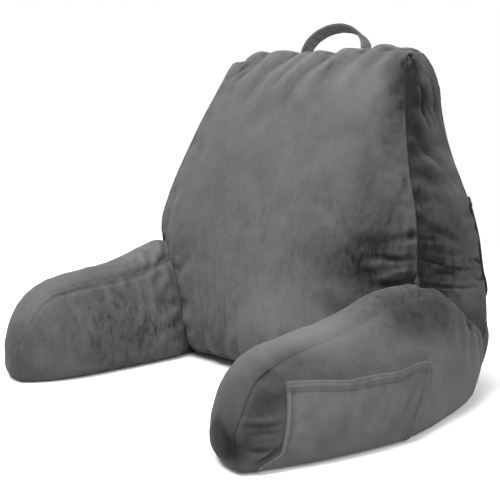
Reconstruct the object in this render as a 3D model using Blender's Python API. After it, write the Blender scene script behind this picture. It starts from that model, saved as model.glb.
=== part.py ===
"""Reading pillow with arms: a filled backrest, two filled arms, their pockets and a handle.

Run with: blender --background --python part.py
Metres, +Z up. The person leans back towards +Y, and +X is on the right seen from the front.
The origin is on the floor, at the middle of the whole pillow's width and depth.
Tables are in millimetres; MM turns them to metres.
"""
import math

import bpy
from mathutils import Vector

MM = 0.001

# Where the back seam stands behind the origin: it centres the whole depth on the origin.
BACK_SEAM_Y = 209.5 * MM

# Room left between pieces that are sewn together, and the thickness of the cloth.
SEWN_GAP = 0.5 * MM
CUT_GAP = 0.4 * MM
POCKET_CLOTH = 2.6 * MM
MESH_CLOTH = 2.2 * MM

# Backrest: a wedge, thin at the top and deep at the floor. "seam_forward" is how far the
# front seam stands in front of the back seam, and "middle_forward" the front panel's middle.
# Below the arm seats the front narrows to the panel that shows between the arms.
BACKREST = {
    "height": (0, 18, 40, 72, 106, 128, 142, 150, 158, 201, 246, 280, 328, 368, 403, 430, 450),
    "front_half": (150, 156, 163, 176, 192, 206, 222, 244, 256, 253, 243, 230, 212, 198, 186, 177, 171),
    "back_half": (242, 253, 259, 262, 261, 260, 259, 258, 256, 248, 233, 216, 195, 184, 178, 168, 152),
    "seam_forward": (158, 169, 173, 170, 165, 161, 157, 150, 144, 143, 135, 128, 114, 100, 85, 73, 62),
    "middle_forward": (170, 183, 188, 190, 188, 186, 185, 184, 182, 175, 164, 155, 139, 123, 105, 88, 65),
}
# An arm is sewn to the backrest's side along a seam that falls from the front seam to the
# back one. The rows of the table above bend down with it, and run level again higher up.
ARM_SEAT = {
    "depth": (0.0, 0.28, 0.44, 0.85, 1.0),
    "height": (158, 141, 123, 86, 70),
}
ARM_SEAT_ROW = 158
LEVEL_ROW = 280
BACK_CROWN = 14 * MM
BELLY_AT_FLOOR = 0.12
SIDE_CROWN = 9 * MM
TOP_CROWN = 9 * MM
TOP_CORNER_DROP = 5 * MM
BACK_TOP_RISE = 5 * MM
TOP_LEAN = 3 * MM
TOP_FADE = 8
CORNER_FADE = 14

# Arms: boxed cushions, from the nose to the back corner. "forward" is measured from the back
# seam. A strip between two seams runs along the top and down over the nose. The "_x" columns
# are distances from the pillow's middle, and "_z" heights.
ARM = {
    "forward": (433, 428, 415, 398, 375, 345, 310, 270, 230, 195, 165, 144, 120, 102, 81, 50, 21, 3),
    "inner_x": (191, 185, 177, 169, 163, 159, 157, 156, 156, 157, 160, 164, 168, 172, 178, 188, 200, 210),
    "inner_seam_x": (192, 188, 184, 182, 181, 182, 183, 185, 190, 198, 207, 215, 219, 220, 222, 224, 226, 228),
    "inner_seam_z": (40, 62, 88, 106, 115, 119, 121, 123, 126, 132, 140, 147, 148, 143, 131, 112, 92, 78),
    "crown_z": (46, 70, 97, 112, 124, 131, 135, 141, 151, 160, 165, 166, 160, 152, 138, 116, 98, 84),
    "outer_seam_z": (44, 66, 90, 106, 117, 123, 127, 131, 139, 149, 156, 158, 153, 145, 132, 112, 95, 82),
    "outer_seam_x": (251, 254, 254, 251, 247, 244, 243, 244, 248, 254, 260, 264, 268, 270, 271, 270, 267, 262),
    "outer_x": (263, 266, 269, 274, 281, 289, 297, 304, 309, 306, 301, 296, 291, 287, 282, 275, 268, 263),
    "inner_droop": (2, 13, 20, 21, 18.5, 15, 13, 11.5, 7, 2, 0, 0, 0, 0, 0, 0, 0, 0),
    "outer_droop": (0, 0, 1, 7, 12, 12, 11, 9.5, 6, 2, 0, 0, 0, 0, 0, 0, 0, 0),
}
ARM_INNER_CROWN = 8 * MM
ARM_OUTER_CROWN = 13 * MM
ARM_UNDERCUT = 4 * MM
ARM_NOSE_CROWN = 8 * MM
ARM_NOSE_REACH = 70 * MM
ARM_TAIL_REACH = 60 * MM
ARM_INNER_LEAN = 2
ARM_OUTER_LEAN = 1.5
ARM_DOME_FULLNESS = 0.8
TUCK_FADE = 3

# The two arms are stuffed a little differently: how high each stands, how far the outer
# corner of its nose is in front of the inner one, how far the inner and outer bottom corners
# are tucked back, how much shorter it is, how far its front droops as a share of the droop
# above, and how far its pocket gapes.
ARM_SIDES = {
    "right": {"turn": 1, "lift": 0.955, "slant": 26 * MM, "inner_tuck": 24 * MM, "outer_tuck": 12 * MM,
              "short": 0 * MM, "droop": 1, "gape": 1.0},
    "left": {"turn": -1, "lift": 1.05, "slant": -20 * MM, "inner_tuck": 20 * MM, "outer_tuck": 4 * MM,
             "short": 5 * MM, "droop": 0, "gape": 0.84},
}

# The bottom is flat, and its edges roll up where the side panels are sewn to it.
ROLL_START = 0.72
ROLL_FADE = 6
BACKREST_ROLL = 5 * MM
ARM_ROLL = 2.5 * MM

# Pockets on the outer side of the arms: the hem sags between its two sewn corners.
POCKET = {
    "along": (0.0, 0.12, 0.35, 0.62, 0.88, 1.0),
    "hem_height": (83, 79, 71, 71, 79, 78),
    "hem_forward": (374, 350, 303, 248, 200, 179),
    "foot_forward": (400, 380, 342, 294, 252, 234),
    "slack": (0, 6, 14, 15, 7, 0),
}
POCKET_FOOT_HEIGHT = 7 * MM
POCKET_GAPE_FADE = 1.3

# Step in mm to a neighbouring point, to find which way a panel faces.
NEAR = 2

# Pocket of black net over the lower back, open at its top hem.
BACK_POCKET = {
    "height": (28, 70, 120, 170, 215, 257),
    "slack": (0, 0.8, 2.5, 5, 8, 11),
}
BACK_POCKET_INSET = 1.5 * MM

# Handle: a strap caught in the back seam at the top, arched, leaning a little back, and
# twisted towards its right foot.
HANDLE_HALF_SPAN = 57 * MM
HANDLE_RISE = 33 * MM
HANDLE_ARCH = 1.1
HANDLE_WIDTH = 19 * MM
HANDLE_THICKNESS = 4 * MM
HANDLE_LEAN = math.radians(10)
HANDLE_PITCH = math.radians(22)
HANDLE_TWIST = math.radians(26)
HANDLE_FORWARD = 10 * MM

# How finely each piece is faceted.
BACKREST_CELLS = (16, 8, 16)
ARM_CELLS = (9, 17, 7)
POCKET_CELLS = (16, 7)
BACK_POCKET_CELLS = (18, 8)
HANDLE_CELLS = 26

DARK_GREY_VELVET = (0.155, 0.155, 0.157, 1.0)
BLACK_NET = (0.012, 0.012, 0.013, 1.0)


def read(table, column, place):
    """Reads a column at a place between the rows, on a smooth curve that never overshoots."""
    keys = table[next(iter(table))]
    values = table[column]
    order = range(len(keys)) if keys[0] < keys[-1] else range(len(keys) - 1, -1, -1)
    x = [keys[i] for i in order]
    y = [values[i] for i in order]
    place = min(max(place, x[0]), x[-1])
    row = max(i for i in range(len(x) - 1) if x[i] <= place)
    rises = [(y[i + 1] - y[i]) / (x[i + 1] - x[i]) for i in range(len(x) - 1)]

    def slope(i):
        if i == 0:
            return rises[0]
        if i == len(x) - 1:
            return rises[-1]
        before, after = rises[i - 1], rises[i]
        return 0.0 if before * after <= 0 else 2 * before * after / (before + after)

    span = x[row + 1] - x[row]
    t = (place - x[row]) / span
    return ((1 + 2 * t) * (1 - t) ** 2 * y[row] + t * (1 - t) ** 2 * span * slope(row)
            + t * t * (3 - 2 * t) * y[row + 1] - t * t * (1 - t) * span * slope(row + 1))


def mix(first, second, share):
    return first + (second - first) * share


def station(rows, share):
    """Steps through a table's rows, in order, with even shares between neighbours."""
    at = share * (len(rows) - 1)
    row = min(int(at), len(rows) - 2)
    return mix(rows[row], rows[row + 1], at - row)


def bow(share):
    """Rises from 0 to 1 at the middle of a panel and back to 0 at its far seam."""
    return 4 * share * (1 - share)


def bottom_roll(across, height):
    """How far the bottom panel lifts towards its seams; its middle is exactly flat."""
    past = max(0.0, (abs(across) - ROLL_START) / (1 - ROLL_START))
    return height * past * past


def backrest_point(across, depth, rise, grow=0.0):
    """Across -1 to 1, depth 0 at the front to 1 at the back, rise 0 to 1 from the floor."""
    row = station(BACKREST["height"], rise)
    seat = read(ARM_SEAT, "height", depth)
    if row <= ARM_SEAT_ROW:
        height = row * seat / ARM_SEAT_ROW
    elif row < LEVEL_ROW:
        height = mix(seat, LEVEL_ROW, (row - ARM_SEAT_ROW) / (LEVEL_ROW - ARM_SEAT_ROW))
    else:
        height = row
    side_row = row if row <= ARM_SEAT_ROW else max(height, ARM_SEAT_ROW)
    front = read(BACKREST, "front_half", side_row) * MM
    back = read(BACKREST, "back_half", height) * MM
    seam_forward = read(BACKREST, "seam_forward", row) * MM
    middle_forward = read(BACKREST, "middle_forward", row) * MM
    rise = height / BACKREST["height"][-1]
    belly = math.sqrt(bow(mix(BELLY_AT_FLOOR, 1.0, rise)))
    half = mix(front, back, depth) + SIDE_CROWN * bow(depth) * belly + grow
    crown = 1 - across * across
    forward = mix(seam_forward, middle_forward, crown) + grow
    y = BACK_SEAM_Y - (1 - depth) * forward + depth * (BACK_CROWN * crown * belly + grow)
    roll = max(bottom_roll(across, BACKREST_ROLL), bottom_roll(1 - 2 * depth, BACKREST_ROLL))
    edge = abs(across) ** CORNER_FADE
    lift = TOP_CROWN * bow(depth) * (1 - edge) + BACK_TOP_RISE * depth - TOP_CORNER_DROP * edge
    lift -= TOP_LEAN * across
    z = height * MM + roll * (1 - rise) ** ROLL_FADE + lift * rise ** TOP_FADE + grow * (2 * rise - 1)
    return Vector((across * half, y, z))


def arm_point(side, across, forward, rise):
    """Across -1 at the inner panel to 1 at the outer one, forward in mm, rise 0 to 1."""
    row = {column: read(ARM, column, forward) * MM for column in ARM}
    share = (across + 1) / 2
    belly = bow(mix(BELLY_AT_FLOOR, 1.0, rise))
    tail = min(1.0, forward * MM / ARM_TAIL_REACH)
    nose = max(0.0, 1 - (ARM["forward"][0] - forward) * MM / ARM_NOSE_REACH)
    puff = belly * (1 - nose)
    undercut = ARM_UNDERCUT * tail * (1 - nose) * (1 - rise) ** ROLL_FADE
    low_x = mix(row["inner_x"], row["inner_seam_x"], rise ** ARM_INNER_LEAN)
    low_x += undercut - ARM_INNER_CROWN * puff
    high_x = mix(row["outer_x"], row["outer_seam_x"], rise ** ARM_OUTER_LEAN)
    high_x -= undercut - ARM_OUTER_CROWN * puff
    seam_line = mix(row["inner_seam_z"], row["outer_seam_z"], share)
    dome = row["crown_z"] - (row["inner_seam_z"] + row["outer_seam_z"]) / 2
    dome *= bow(share) ** ARM_DOME_FULLNESS * rise ** ARM_INNER_LEAN
    droop = mix(row["inner_droop"], row["outer_droop"], share) * ARM_SIDES[side]["droop"]
    z = rise * (seam_line + dome - droop) * ARM_SIDES[side]["lift"]
    tuck = mix(ARM_SIDES[side]["inner_tuck"], ARM_SIDES[side]["outer_tuck"], share)
    y = BACK_SEAM_Y - forward * MM - ARM_NOSE_CROWN * nose ** 2 * bow(share)
    y += nose * (ARM_SIDES[side]["short"] - ARM_SIDES[side]["slant"] * (share - 0.5))
    y += nose * tuck * (1 - rise) ** TUCK_FADE
    roll = max(bottom_roll(across, ARM_ROLL * tail), ARM_ROLL * nose ** TUCK_FADE)
    z += roll * (1 - rise) ** ROLL_FADE
    return Vector((ARM_SIDES[side]["turn"] * mix(low_x, high_x, share), y, z))


def new_object(name, vertices, faces, material):
    mesh = bpy.data.meshes.new(name)
    mesh.from_pydata([tuple(v) for v in vertices], [], faces)
    mesh.update()
    mesh.shade_smooth()
    mesh.set_sharp_from_angle(angle=math.radians(50))
    thing = bpy.data.objects.new(name, mesh)
    bpy.context.collection.objects.link(thing)
    mesh.materials.append(material)
    return thing


def boxed_cushion(counts, place, mirrored=False):
    """Six sewn panels as one closed grid; place(i, j, k) gives a point from cell shares.

    Each cell is split along its own fixed diagonal, so that a panel and the cutter made
    from it have the same facets.
    """
    index = {}
    vertices = []

    def corner(i, j, k):
        key = (i, j, k)
        if key not in index:
            index[key] = len(vertices)
            vertices.append(place(i / counts[0], j / counts[1], k / counts[2]))
        return index[key]

    faces = []

    def panel(first, second, fixed, at, outward):
        for p in range(counts[first]):
            for q in range(counts[second]):
                ring = []
                for dp, dq in ((0, 0), (1, 0), (1, 1), (0, 1)):
                    spot = [0, 0, 0]
                    spot[first], spot[second], spot[fixed] = p + dp, q + dq, at
                    ring.append(corner(*spot))
                ring = ring if outward != mirrored else ring[::-1]
                faces.append([ring[0], ring[1], ring[2]])
                faces.append([ring[0], ring[2], ring[3]])

    panel(0, 2, 1, 0, True)
    panel(0, 2, 1, counts[1], False)
    panel(1, 2, 0, counts[0], True)
    panel(1, 2, 0, 0, False)
    panel(0, 1, 2, counts[2], True)
    panel(0, 1, 2, 0, False)
    return vertices, faces


def cloth_sheet(cells, place, flipped=False):
    """A closed sheet; place(u, v, layer) gives its inner (0) and outer (1) side."""
    across, down = cells
    vertices = []
    for layer in (0, 1):
        for row in range(down + 1):
            for column in range(across + 1):
                vertices.append(place(column / across, row / down, layer))
    size = (across + 1) * (down + 1)

    def spot(column, row, layer):
        return layer * size + row * (across + 1) + column

    faces = []
    for row in range(down):
        for column in range(across):
            ring = [spot(column + i, row + j, 1) for i, j in ((0, 0), (0, 1), (1, 1), (1, 0))]
            faces.append(ring)
            ring = [spot(column + i, row + j, 0) for i, j in ((0, 0), (1, 0), (1, 1), (0, 1))]
            faces.append(ring)
    rim = [(column, 0) for column in range(across)] + [(across, row) for row in range(down)]
    rim += [(column, down) for column in range(across, 0, -1)]
    rim += [(0, row) for row in range(down, 0, -1)]
    for here, after in zip(rim, rim[1:] + rim[:1]):
        faces.append([spot(*here, 0), spot(*here, 1), spot(*after, 1), spot(*after, 0)])
    if flipped:
        faces = [ring[::-1] for ring in faces]
    return vertices, faces


def principled(name, colour, roughness):
    material = bpy.data.materials.new(name)
    material.use_nodes = True
    shader = material.node_tree.nodes["Principled BSDF"]
    shader.inputs["Base Color"].default_value = colour
    shader.inputs["Roughness"].default_value = roughness
    shader.inputs["Metallic"].default_value = 0.0
    material.diffuse_color = colour
    return material


def backrest_mesh(grow):
    return boxed_cushion(BACKREST_CELLS, lambda i, j, k: backrest_point(2 * i - 1, j, k, grow))


def make_backrest():
    vertices, faces = backrest_mesh(0.0)
    return new_object("backrest", vertices, faces, principled("backrest_velvet", DARK_GREY_VELVET, 0.85))


def make_arm(side):
    """An arm's cushion, cut to sit against the backrest's side."""
    name = "arm_" + side
    mirrored = ARM_SIDES[side]["turn"] < 0
    vertices, faces = boxed_cushion(
        ARM_CELLS, lambda i, j, k: arm_point(side, 2 * i - 1, station(ARM["forward"], j), k), mirrored)
    arm = new_object(name, vertices, faces, principled(name + "_velvet", DARK_GREY_VELVET, 0.85))
    vertices, faces = backrest_mesh(CUT_GAP)
    cutter = new_object(name + "_cutter", vertices, faces, arm.data.materials[0])
    cutter.hide_render = True
    cutter.display_type = "WIRE"
    cut = arm.modifiers.new("backrest side", "BOOLEAN")
    cut.operation = "DIFFERENCE"
    cut.object = cutter
    return arm


def arm_pocket_point(side, u, v, layer):
    """U runs from the pocket's front side to its rear one, v from the hem down."""
    hem_forward = read(POCKET, "hem_forward", u)
    foot_forward = read(POCKET, "foot_forward", u)
    hem_height = read(POCKET, "hem_height", u) * MM
    forward = mix(hem_forward, foot_forward, v)
    height = mix(hem_height, POCKET_FOOT_HEIGHT, v)
    droop = read(ARM, "outer_droop", forward) * ARM_SIDES[side]["droop"]
    seam = (read(ARM, "outer_seam_z", forward) - droop) * MM * ARM_SIDES[side]["lift"]
    rise = height / seam
    point = arm_point(side, 1, forward, rise)
    along = arm_point(side, 1, forward - NEAR, rise) - arm_point(side, 1, forward + NEAR, rise)
    up = arm_point(side, 1, forward, rise + NEAR / 100) - arm_point(side, 1, forward, rise - NEAR / 100)
    outward = along.cross(up).normalized() * ARM_SIDES[side]["turn"]
    slack = read(POCKET, "slack", u) * MM * ARM_SIDES[side]["gape"] * (1 - v) ** POCKET_GAPE_FADE
    return point + outward * (SEWN_GAP + slack + layer * POCKET_CLOTH)


def make_arm_pocket(side):
    name = "arm_pocket_" + side
    flipped = ARM_SIDES[side]["turn"] < 0
    vertices, faces = cloth_sheet(POCKET_CELLS, lambda u, v, n: arm_pocket_point(side, u, v, n), flipped)
    return new_object(name, vertices, faces, principled(name + "_velvet", DARK_GREY_VELVET, 0.85))


def back_panel_point(across, height):
    """A point of the back panel at a height in mm, found between its two nearest stations."""
    low, high = 0.0, 1.0
    for halving in range(20):
        middle = (low + high) / 2
        if backrest_point(0, 1, middle).z < height * MM:
            low = middle
        else:
            high = middle
    return backrest_point(across, 1, (low + high) / 2)


def back_pocket_point(u, v, layer):
    """U runs from the left side to the right one seen from behind, v from the hem down."""
    height = mix(BACK_POCKET["height"][-1], BACK_POCKET["height"][0], v)
    across = 1 - 2 * u
    point = back_panel_point(across, height)
    point.x -= across * BACK_POCKET_INSET
    slack = read(BACK_POCKET, "slack", height) * MM * (1 - across ** TOP_FADE)
    point.y += SEWN_GAP + slack + layer * MESH_CLOTH
    return point


def make_back_pocket():
    vertices, faces = cloth_sheet(BACK_POCKET_CELLS, back_pocket_point)
    return new_object("back_pocket", vertices, faces, principled("black_net", BLACK_NET, 0.7))


def top_height(x, y):
    """Height of the backrest's top panel at a place near its middle."""
    depth = 1 - (BACK_SEAM_Y - y) / (BACKREST["seam_forward"][-1] * MM)
    depth = min(1.0, depth)
    edge = backrest_point(1, depth, 1).x
    return backrest_point(x / edge, depth, 1).z


def make_handle():
    """The strap's rectangle, carried along a flat-topped arch."""
    foot_y = BACK_SEAM_Y - HANDLE_FORWARD

    def foot_height(side):
        spots = [(side * (HANDLE_HALF_SPAN + x), foot_y + y)
                 for x in (-HANDLE_THICKNESS, 0, HANDLE_THICKNESS)
                 for y in (-HANDLE_WIDTH / 2, 0, HANDLE_WIDTH / 2)]
        return SEWN_GAP + max(top_height(x, y) for x, y in spots)

    left_height, right_height = foot_height(-1), foot_height(1)
    vertices = []
    faces = []
    for step in range(HANDLE_CELLS + 1):
        turn = math.pi * step / HANDLE_CELLS
        centre = (-HANDLE_HALF_SPAN * math.cos(turn), HANDLE_RISE * max(0.0, math.sin(turn)) ** HANDLE_ARCH)
        normal = Vector((-math.cos(turn) / HANDLE_HALF_SPAN, math.sin(turn) / HANDLE_RISE)).normalized()
        twist = HANDLE_TWIST * step / HANDLE_CELLS
        base = mix(left_height, right_height, step / HANDLE_CELLS)
        for across, out in ((-1, -1), (1, -1), (1, 1), (-1, 1)):
            reach = across * HANDLE_WIDTH / 2
            x = centre[0] + normal.x * out * HANDLE_THICKNESS / 2 - reach * math.sin(twist)
            up = centre[1] + normal.y * out * HANDLE_THICKNESS / 2
            up = max(0.0, up - reach * math.sin(HANDLE_PITCH) * max(0.0, math.sin(turn)))
            y = foot_y + reach * math.cos(twist) + up * math.tan(HANDLE_LEAN)
            vertices.append(Vector((x, y, base + up)))
    for step in range(HANDLE_CELLS):
        for side in range(4):
            here = step * 4 + side
            beside = step * 4 + (side + 1) % 4
            faces.append([here, beside, beside + 4, here + 4])
    faces.append([3, 2, 1, 0])
    last = HANDLE_CELLS * 4
    faces.append([last, last + 1, last + 2, last + 3])
    return new_object("handle", vertices, faces, principled("handle_velvet", DARK_GREY_VELVET, 0.85))


def main():
    for thing in list(bpy.data.objects):
        bpy.data.objects.remove(thing)
    make_backrest()
    for side in ARM_SIDES:
        make_arm(side)
        make_arm_pocket(side)
    make_back_pocket()
    make_handle()


main()
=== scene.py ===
"""Reading pillow with arms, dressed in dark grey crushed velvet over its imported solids.

Tables are in millimetres and MM turns them to metres. +X is right seen from the front, +Y is
towards the back panel, and the floor is at 0.
"""
import math

import bpy
import numpy as np
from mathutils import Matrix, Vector
from mathutils.bvhtree import BVHTree
from mathutils.kdtree import KDTree


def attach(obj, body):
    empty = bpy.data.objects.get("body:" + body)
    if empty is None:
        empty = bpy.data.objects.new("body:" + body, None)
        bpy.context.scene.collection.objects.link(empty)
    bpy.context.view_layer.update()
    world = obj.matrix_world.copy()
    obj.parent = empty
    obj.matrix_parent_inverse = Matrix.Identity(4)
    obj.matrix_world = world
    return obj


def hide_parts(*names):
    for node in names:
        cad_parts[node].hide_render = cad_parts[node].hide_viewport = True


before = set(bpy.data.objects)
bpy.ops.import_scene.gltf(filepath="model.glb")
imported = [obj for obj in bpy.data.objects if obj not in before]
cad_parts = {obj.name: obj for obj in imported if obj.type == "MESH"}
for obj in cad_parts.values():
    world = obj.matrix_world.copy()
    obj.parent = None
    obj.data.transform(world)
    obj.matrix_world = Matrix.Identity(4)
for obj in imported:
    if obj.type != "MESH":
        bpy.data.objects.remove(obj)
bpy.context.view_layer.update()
MM = 0.001

# ---------------------------------------------------------------------------
# The pillow's sizes, as its solids have them
# ---------------------------------------------------------------------------
BACK_SEAM_Y = 209.5

BACKREST = {
    "height": (0, 18, 40, 72, 106, 128, 142, 150, 158, 201, 246, 280, 328, 368, 403, 430, 450),
    "front_half": (160, 164, 168, 178, 192, 206, 222, 242, 254, 253, 243, 230, 212, 198, 186, 177, 171),
    "back_half": (233, 248, 258, 264, 263, 261, 259, 257, 254, 246, 232, 216, 195, 184, 178, 168, 152),
    "seam_forward": (158, 169, 173, 170, 165, 161, 157, 150, 144, 143, 135, 128, 114, 100, 85, 73, 62),
    "middle_forward": (170, 183, 188, 190, 188, 186, 185, 184, 182, 175, 164, 155, 139, 123, 105, 88, 65),
}
ARM_SEAT = {
    "depth": (0.0, 0.28, 0.44, 0.85, 1.0),
    "height": (158, 141, 123, 86, 70),
}
ARM_SEAT_ROW = 158
LEVEL_ROW = 280
TOP_ROW = 450
BACK_CROWN = 14
BELLY_AT_FLOOR = 0.12
SIDE_CROWN = 9
TOP_CROWN = 7
TOP_CORNER_DROP = 5
BACK_TOP_RISE = 5
TOP_LEAN = 4.5
TOP_FADE = 8
CORNER_FADE = 14

ARM = {
    "forward": (433, 425, 411, 395, 374, 345, 310, 270, 230, 195, 165, 144, 120, 102, 81, 50, 21, 3),
    "inner_x": (191, 185, 177, 169, 163, 159, 157, 156, 156, 157, 160, 164, 168, 172, 178, 188, 200, 210),
    "inner_seam_x": (192, 188, 184, 182, 181, 182, 183, 185, 190, 198, 207, 215, 219, 220, 222, 224, 226, 228),
    "inner_seam_z": (40, 62, 88, 106, 115, 119, 121, 123, 126, 132, 140, 147, 148, 143, 131, 112, 92, 78),
    "crown_z": (46, 70, 97, 112, 124, 131, 135, 140, 148, 155, 161, 164, 160, 152, 138, 116, 98, 84),
    "outer_seam_z": (44, 66, 90, 106, 117, 123, 127, 131, 139, 149, 156, 158, 153, 145, 132, 112, 95, 82),
    "outer_seam_x": (256, 258, 256, 252, 247, 244, 243, 244, 248, 254, 260, 264, 268, 270, 271, 270, 267, 262),
    "outer_x": (263, 266, 269, 274, 281, 289, 297, 304, 309, 306, 301, 296, 291, 287, 281, 272, 263, 255),
    "inner_droop": (2, 13, 20, 21, 18.5, 15, 13, 11.5, 7, 0, -3, -4, -4, -3, -1, 0, 0, 0),
    "outer_droop": (0, 0, 1, 7, 12, 12, 11, 9.5, 6, 0, -3, -4, -4, -3, -1, 0, 0, 0),
}
ARM_INNER_CROWN = 8
ARM_OUTER_CROWN = 13
ARM_UNDERCUT = 4
ARM_NOSE_CROWN = 8
ARM_NOSE_REACH = 70
ARM_TAIL_REACH = 60
ARM_INNER_LEAN = 2
ARM_OUTER_LEAN = 1.5
ARM_DOME_FULLNESS = 0.8
TUCK_FADE = 3
ARM_SIDES = {
    "right": {"turn": 1, "lift": 0.955, "slant": 26, "inner_tuck": 20, "outer_tuck": 12,
              "short": 0, "lean": 5, "droop": 1, "gape": 1.0},
    "left": {"turn": -1, "lift": 1.05, "slant": -20, "inner_tuck": 9, "outer_tuck": 4,
             "short": 5, "lean": 0, "droop": 0, "gape": 0.84},
}
ROLL_START = 0.72
ROLL_FADE = 6
BACKREST_ROLL = 5
ARM_ROLL = 2.5

POCKET = {
    "along": (0.0, 0.12, 0.35, 0.62, 0.88, 1.0),
    "hem_height": (83, 79, 71, 71, 79, 78),
    "hem_forward": (374, 350, 303, 248, 200, 179),
    "foot_forward": (400, 380, 342, 294, 252, 234),
    "slack": (0, 6, 14, 15, 7, 0),
}
# The patch at its hem and down its middle, and the thickness of its cloth.
POCKET_LENGTH = 235
POCKET_DEPTH = 88
POCKET_CLOTH = 1.5
HEM_DEPTH = 8.0
POCKET_FOOT_HEIGHT = 3
POCKET_TOE = 20
POCKET_GAPE_FADE = 1.3

BACK_POCKET = {
    "height": (28, 70, 120, 170, 215, 257),
    "slack": (0, 0.8, 2.5, 5, 8, 11),
}
NET_WIDTH = 508
NET_HEIGHT = 232
NET_CLOTH = 1.0

HANDLE_HALF_SPAN = 58
HANDLE_MIDDLE = -0.5
HANDLE_RISE = 33
HANDLE_ARCH = 1.1
HANDLE_WIDTH = 19
HANDLE_THICKNESS = 4
HANDLE_LEAN = math.radians(10)
HANDLE_PITCH = math.radians(32)
HANDLE_TWIST = math.radians(5)
HANDLE_FORWARD = 10
HANDLE_STEPS = 150

# ---------------------------------------------------------------------------
# How the cloth lies: seams, puckers and creases
# ---------------------------------------------------------------------------
ALL_EDGES = ("u0", "u1", "v0", "v1")
CUSHIONS = {
    "backrest": {
        # the panels' length each way and the spacing of their points, which are softened further
        # from a seam than this, in so many rounds
        "grid": ((520, 3.5), (160, 2.8), (450, 2.8)), "softened": 20, "rounds": 14,
        # the coarse copy that the solver fills: its steps, its slack and how much of it is kept
        "coarse": (62, 20, 54), "slack": 0.03, "kept": 0.9,
        # a sewn seam pulls the cloth down in a valley, and its folded edge stands up in it
        "valley": 2.4, "valley_width": 7.0, "edge": 1.5, "edge_width": 1.7, "pucker": 0.9,
        # loose swells: height, length, seed, and where they begin and are full beside a seam
        "swells": ((0.9, 80, 5, 5, 40), (0.35, 30, 6, 3, 20)),
        # the strip over the sides and the top is one piece
        "seams": {"low": ("u0", "u1", "v0"), "high": ("u0", "u1", "v0"), "front": ALL_EDGES,
                  "back": ALL_EDGES, "bottom": ALL_EDGES, "top": ("v0", "v1")},
    },
    "arm": {
        "grid": ((115, 3.0), (500, 3.0), (130, 3.0)), "softened": 16, "rounds": 8,
        "coarse": (16, 66, 20), "slack": 0.012, "kept": 0.3,
        "valley": 2.0, "valley_width": 6.0, "edge": 1.0, "edge_width": 1.5, "pucker": 0.4,
        "swells": ((0.8, 70, 8, 4, 30), (0.3, 26, 9, 3, 16)),
        # the strip has no seam where it turns down over the nose and at the back
        "seams": {"low": ALL_EDGES, "high": ALL_EDGES, "front": ("u0", "u1", "v0"),
                  "back": ("u0", "u1", "v0"), "bottom": ALL_EDGES, "top": ("u0", "u1")},
    },
}
# How the filling lifts the cloth away from a seam, and the ripples that gather it there.
STUFFING_RISE = 1.2
STUFFING_REACH = 14.0
RIPPLE_REACH = 16.0
RIPPLE_LENGTH = 15.0
# Places of a grid's first points beside a seam, where its profile needs them close together.
SEAM_STATIONS = (0, 1.3, 2.6, 4.2, 6.4, 9.4)
# The cover's cloth for the solver, which may crumple it by so many mm at most.
COVER_CLOTH = {
    "quality": 6, "mass": 0.35, "tension_stiffness": 18, "compression_stiffness": 18,
    "shear_stiffness": 6, "bending_stiffness": 0.35, "use_pressure": True,
    "uniform_pressure_force": 4.0, "vertex_group_mass": "held",
}
SOLVER_FRAMES = 20
CRUMPLE_LIMIT = 26.0

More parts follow.
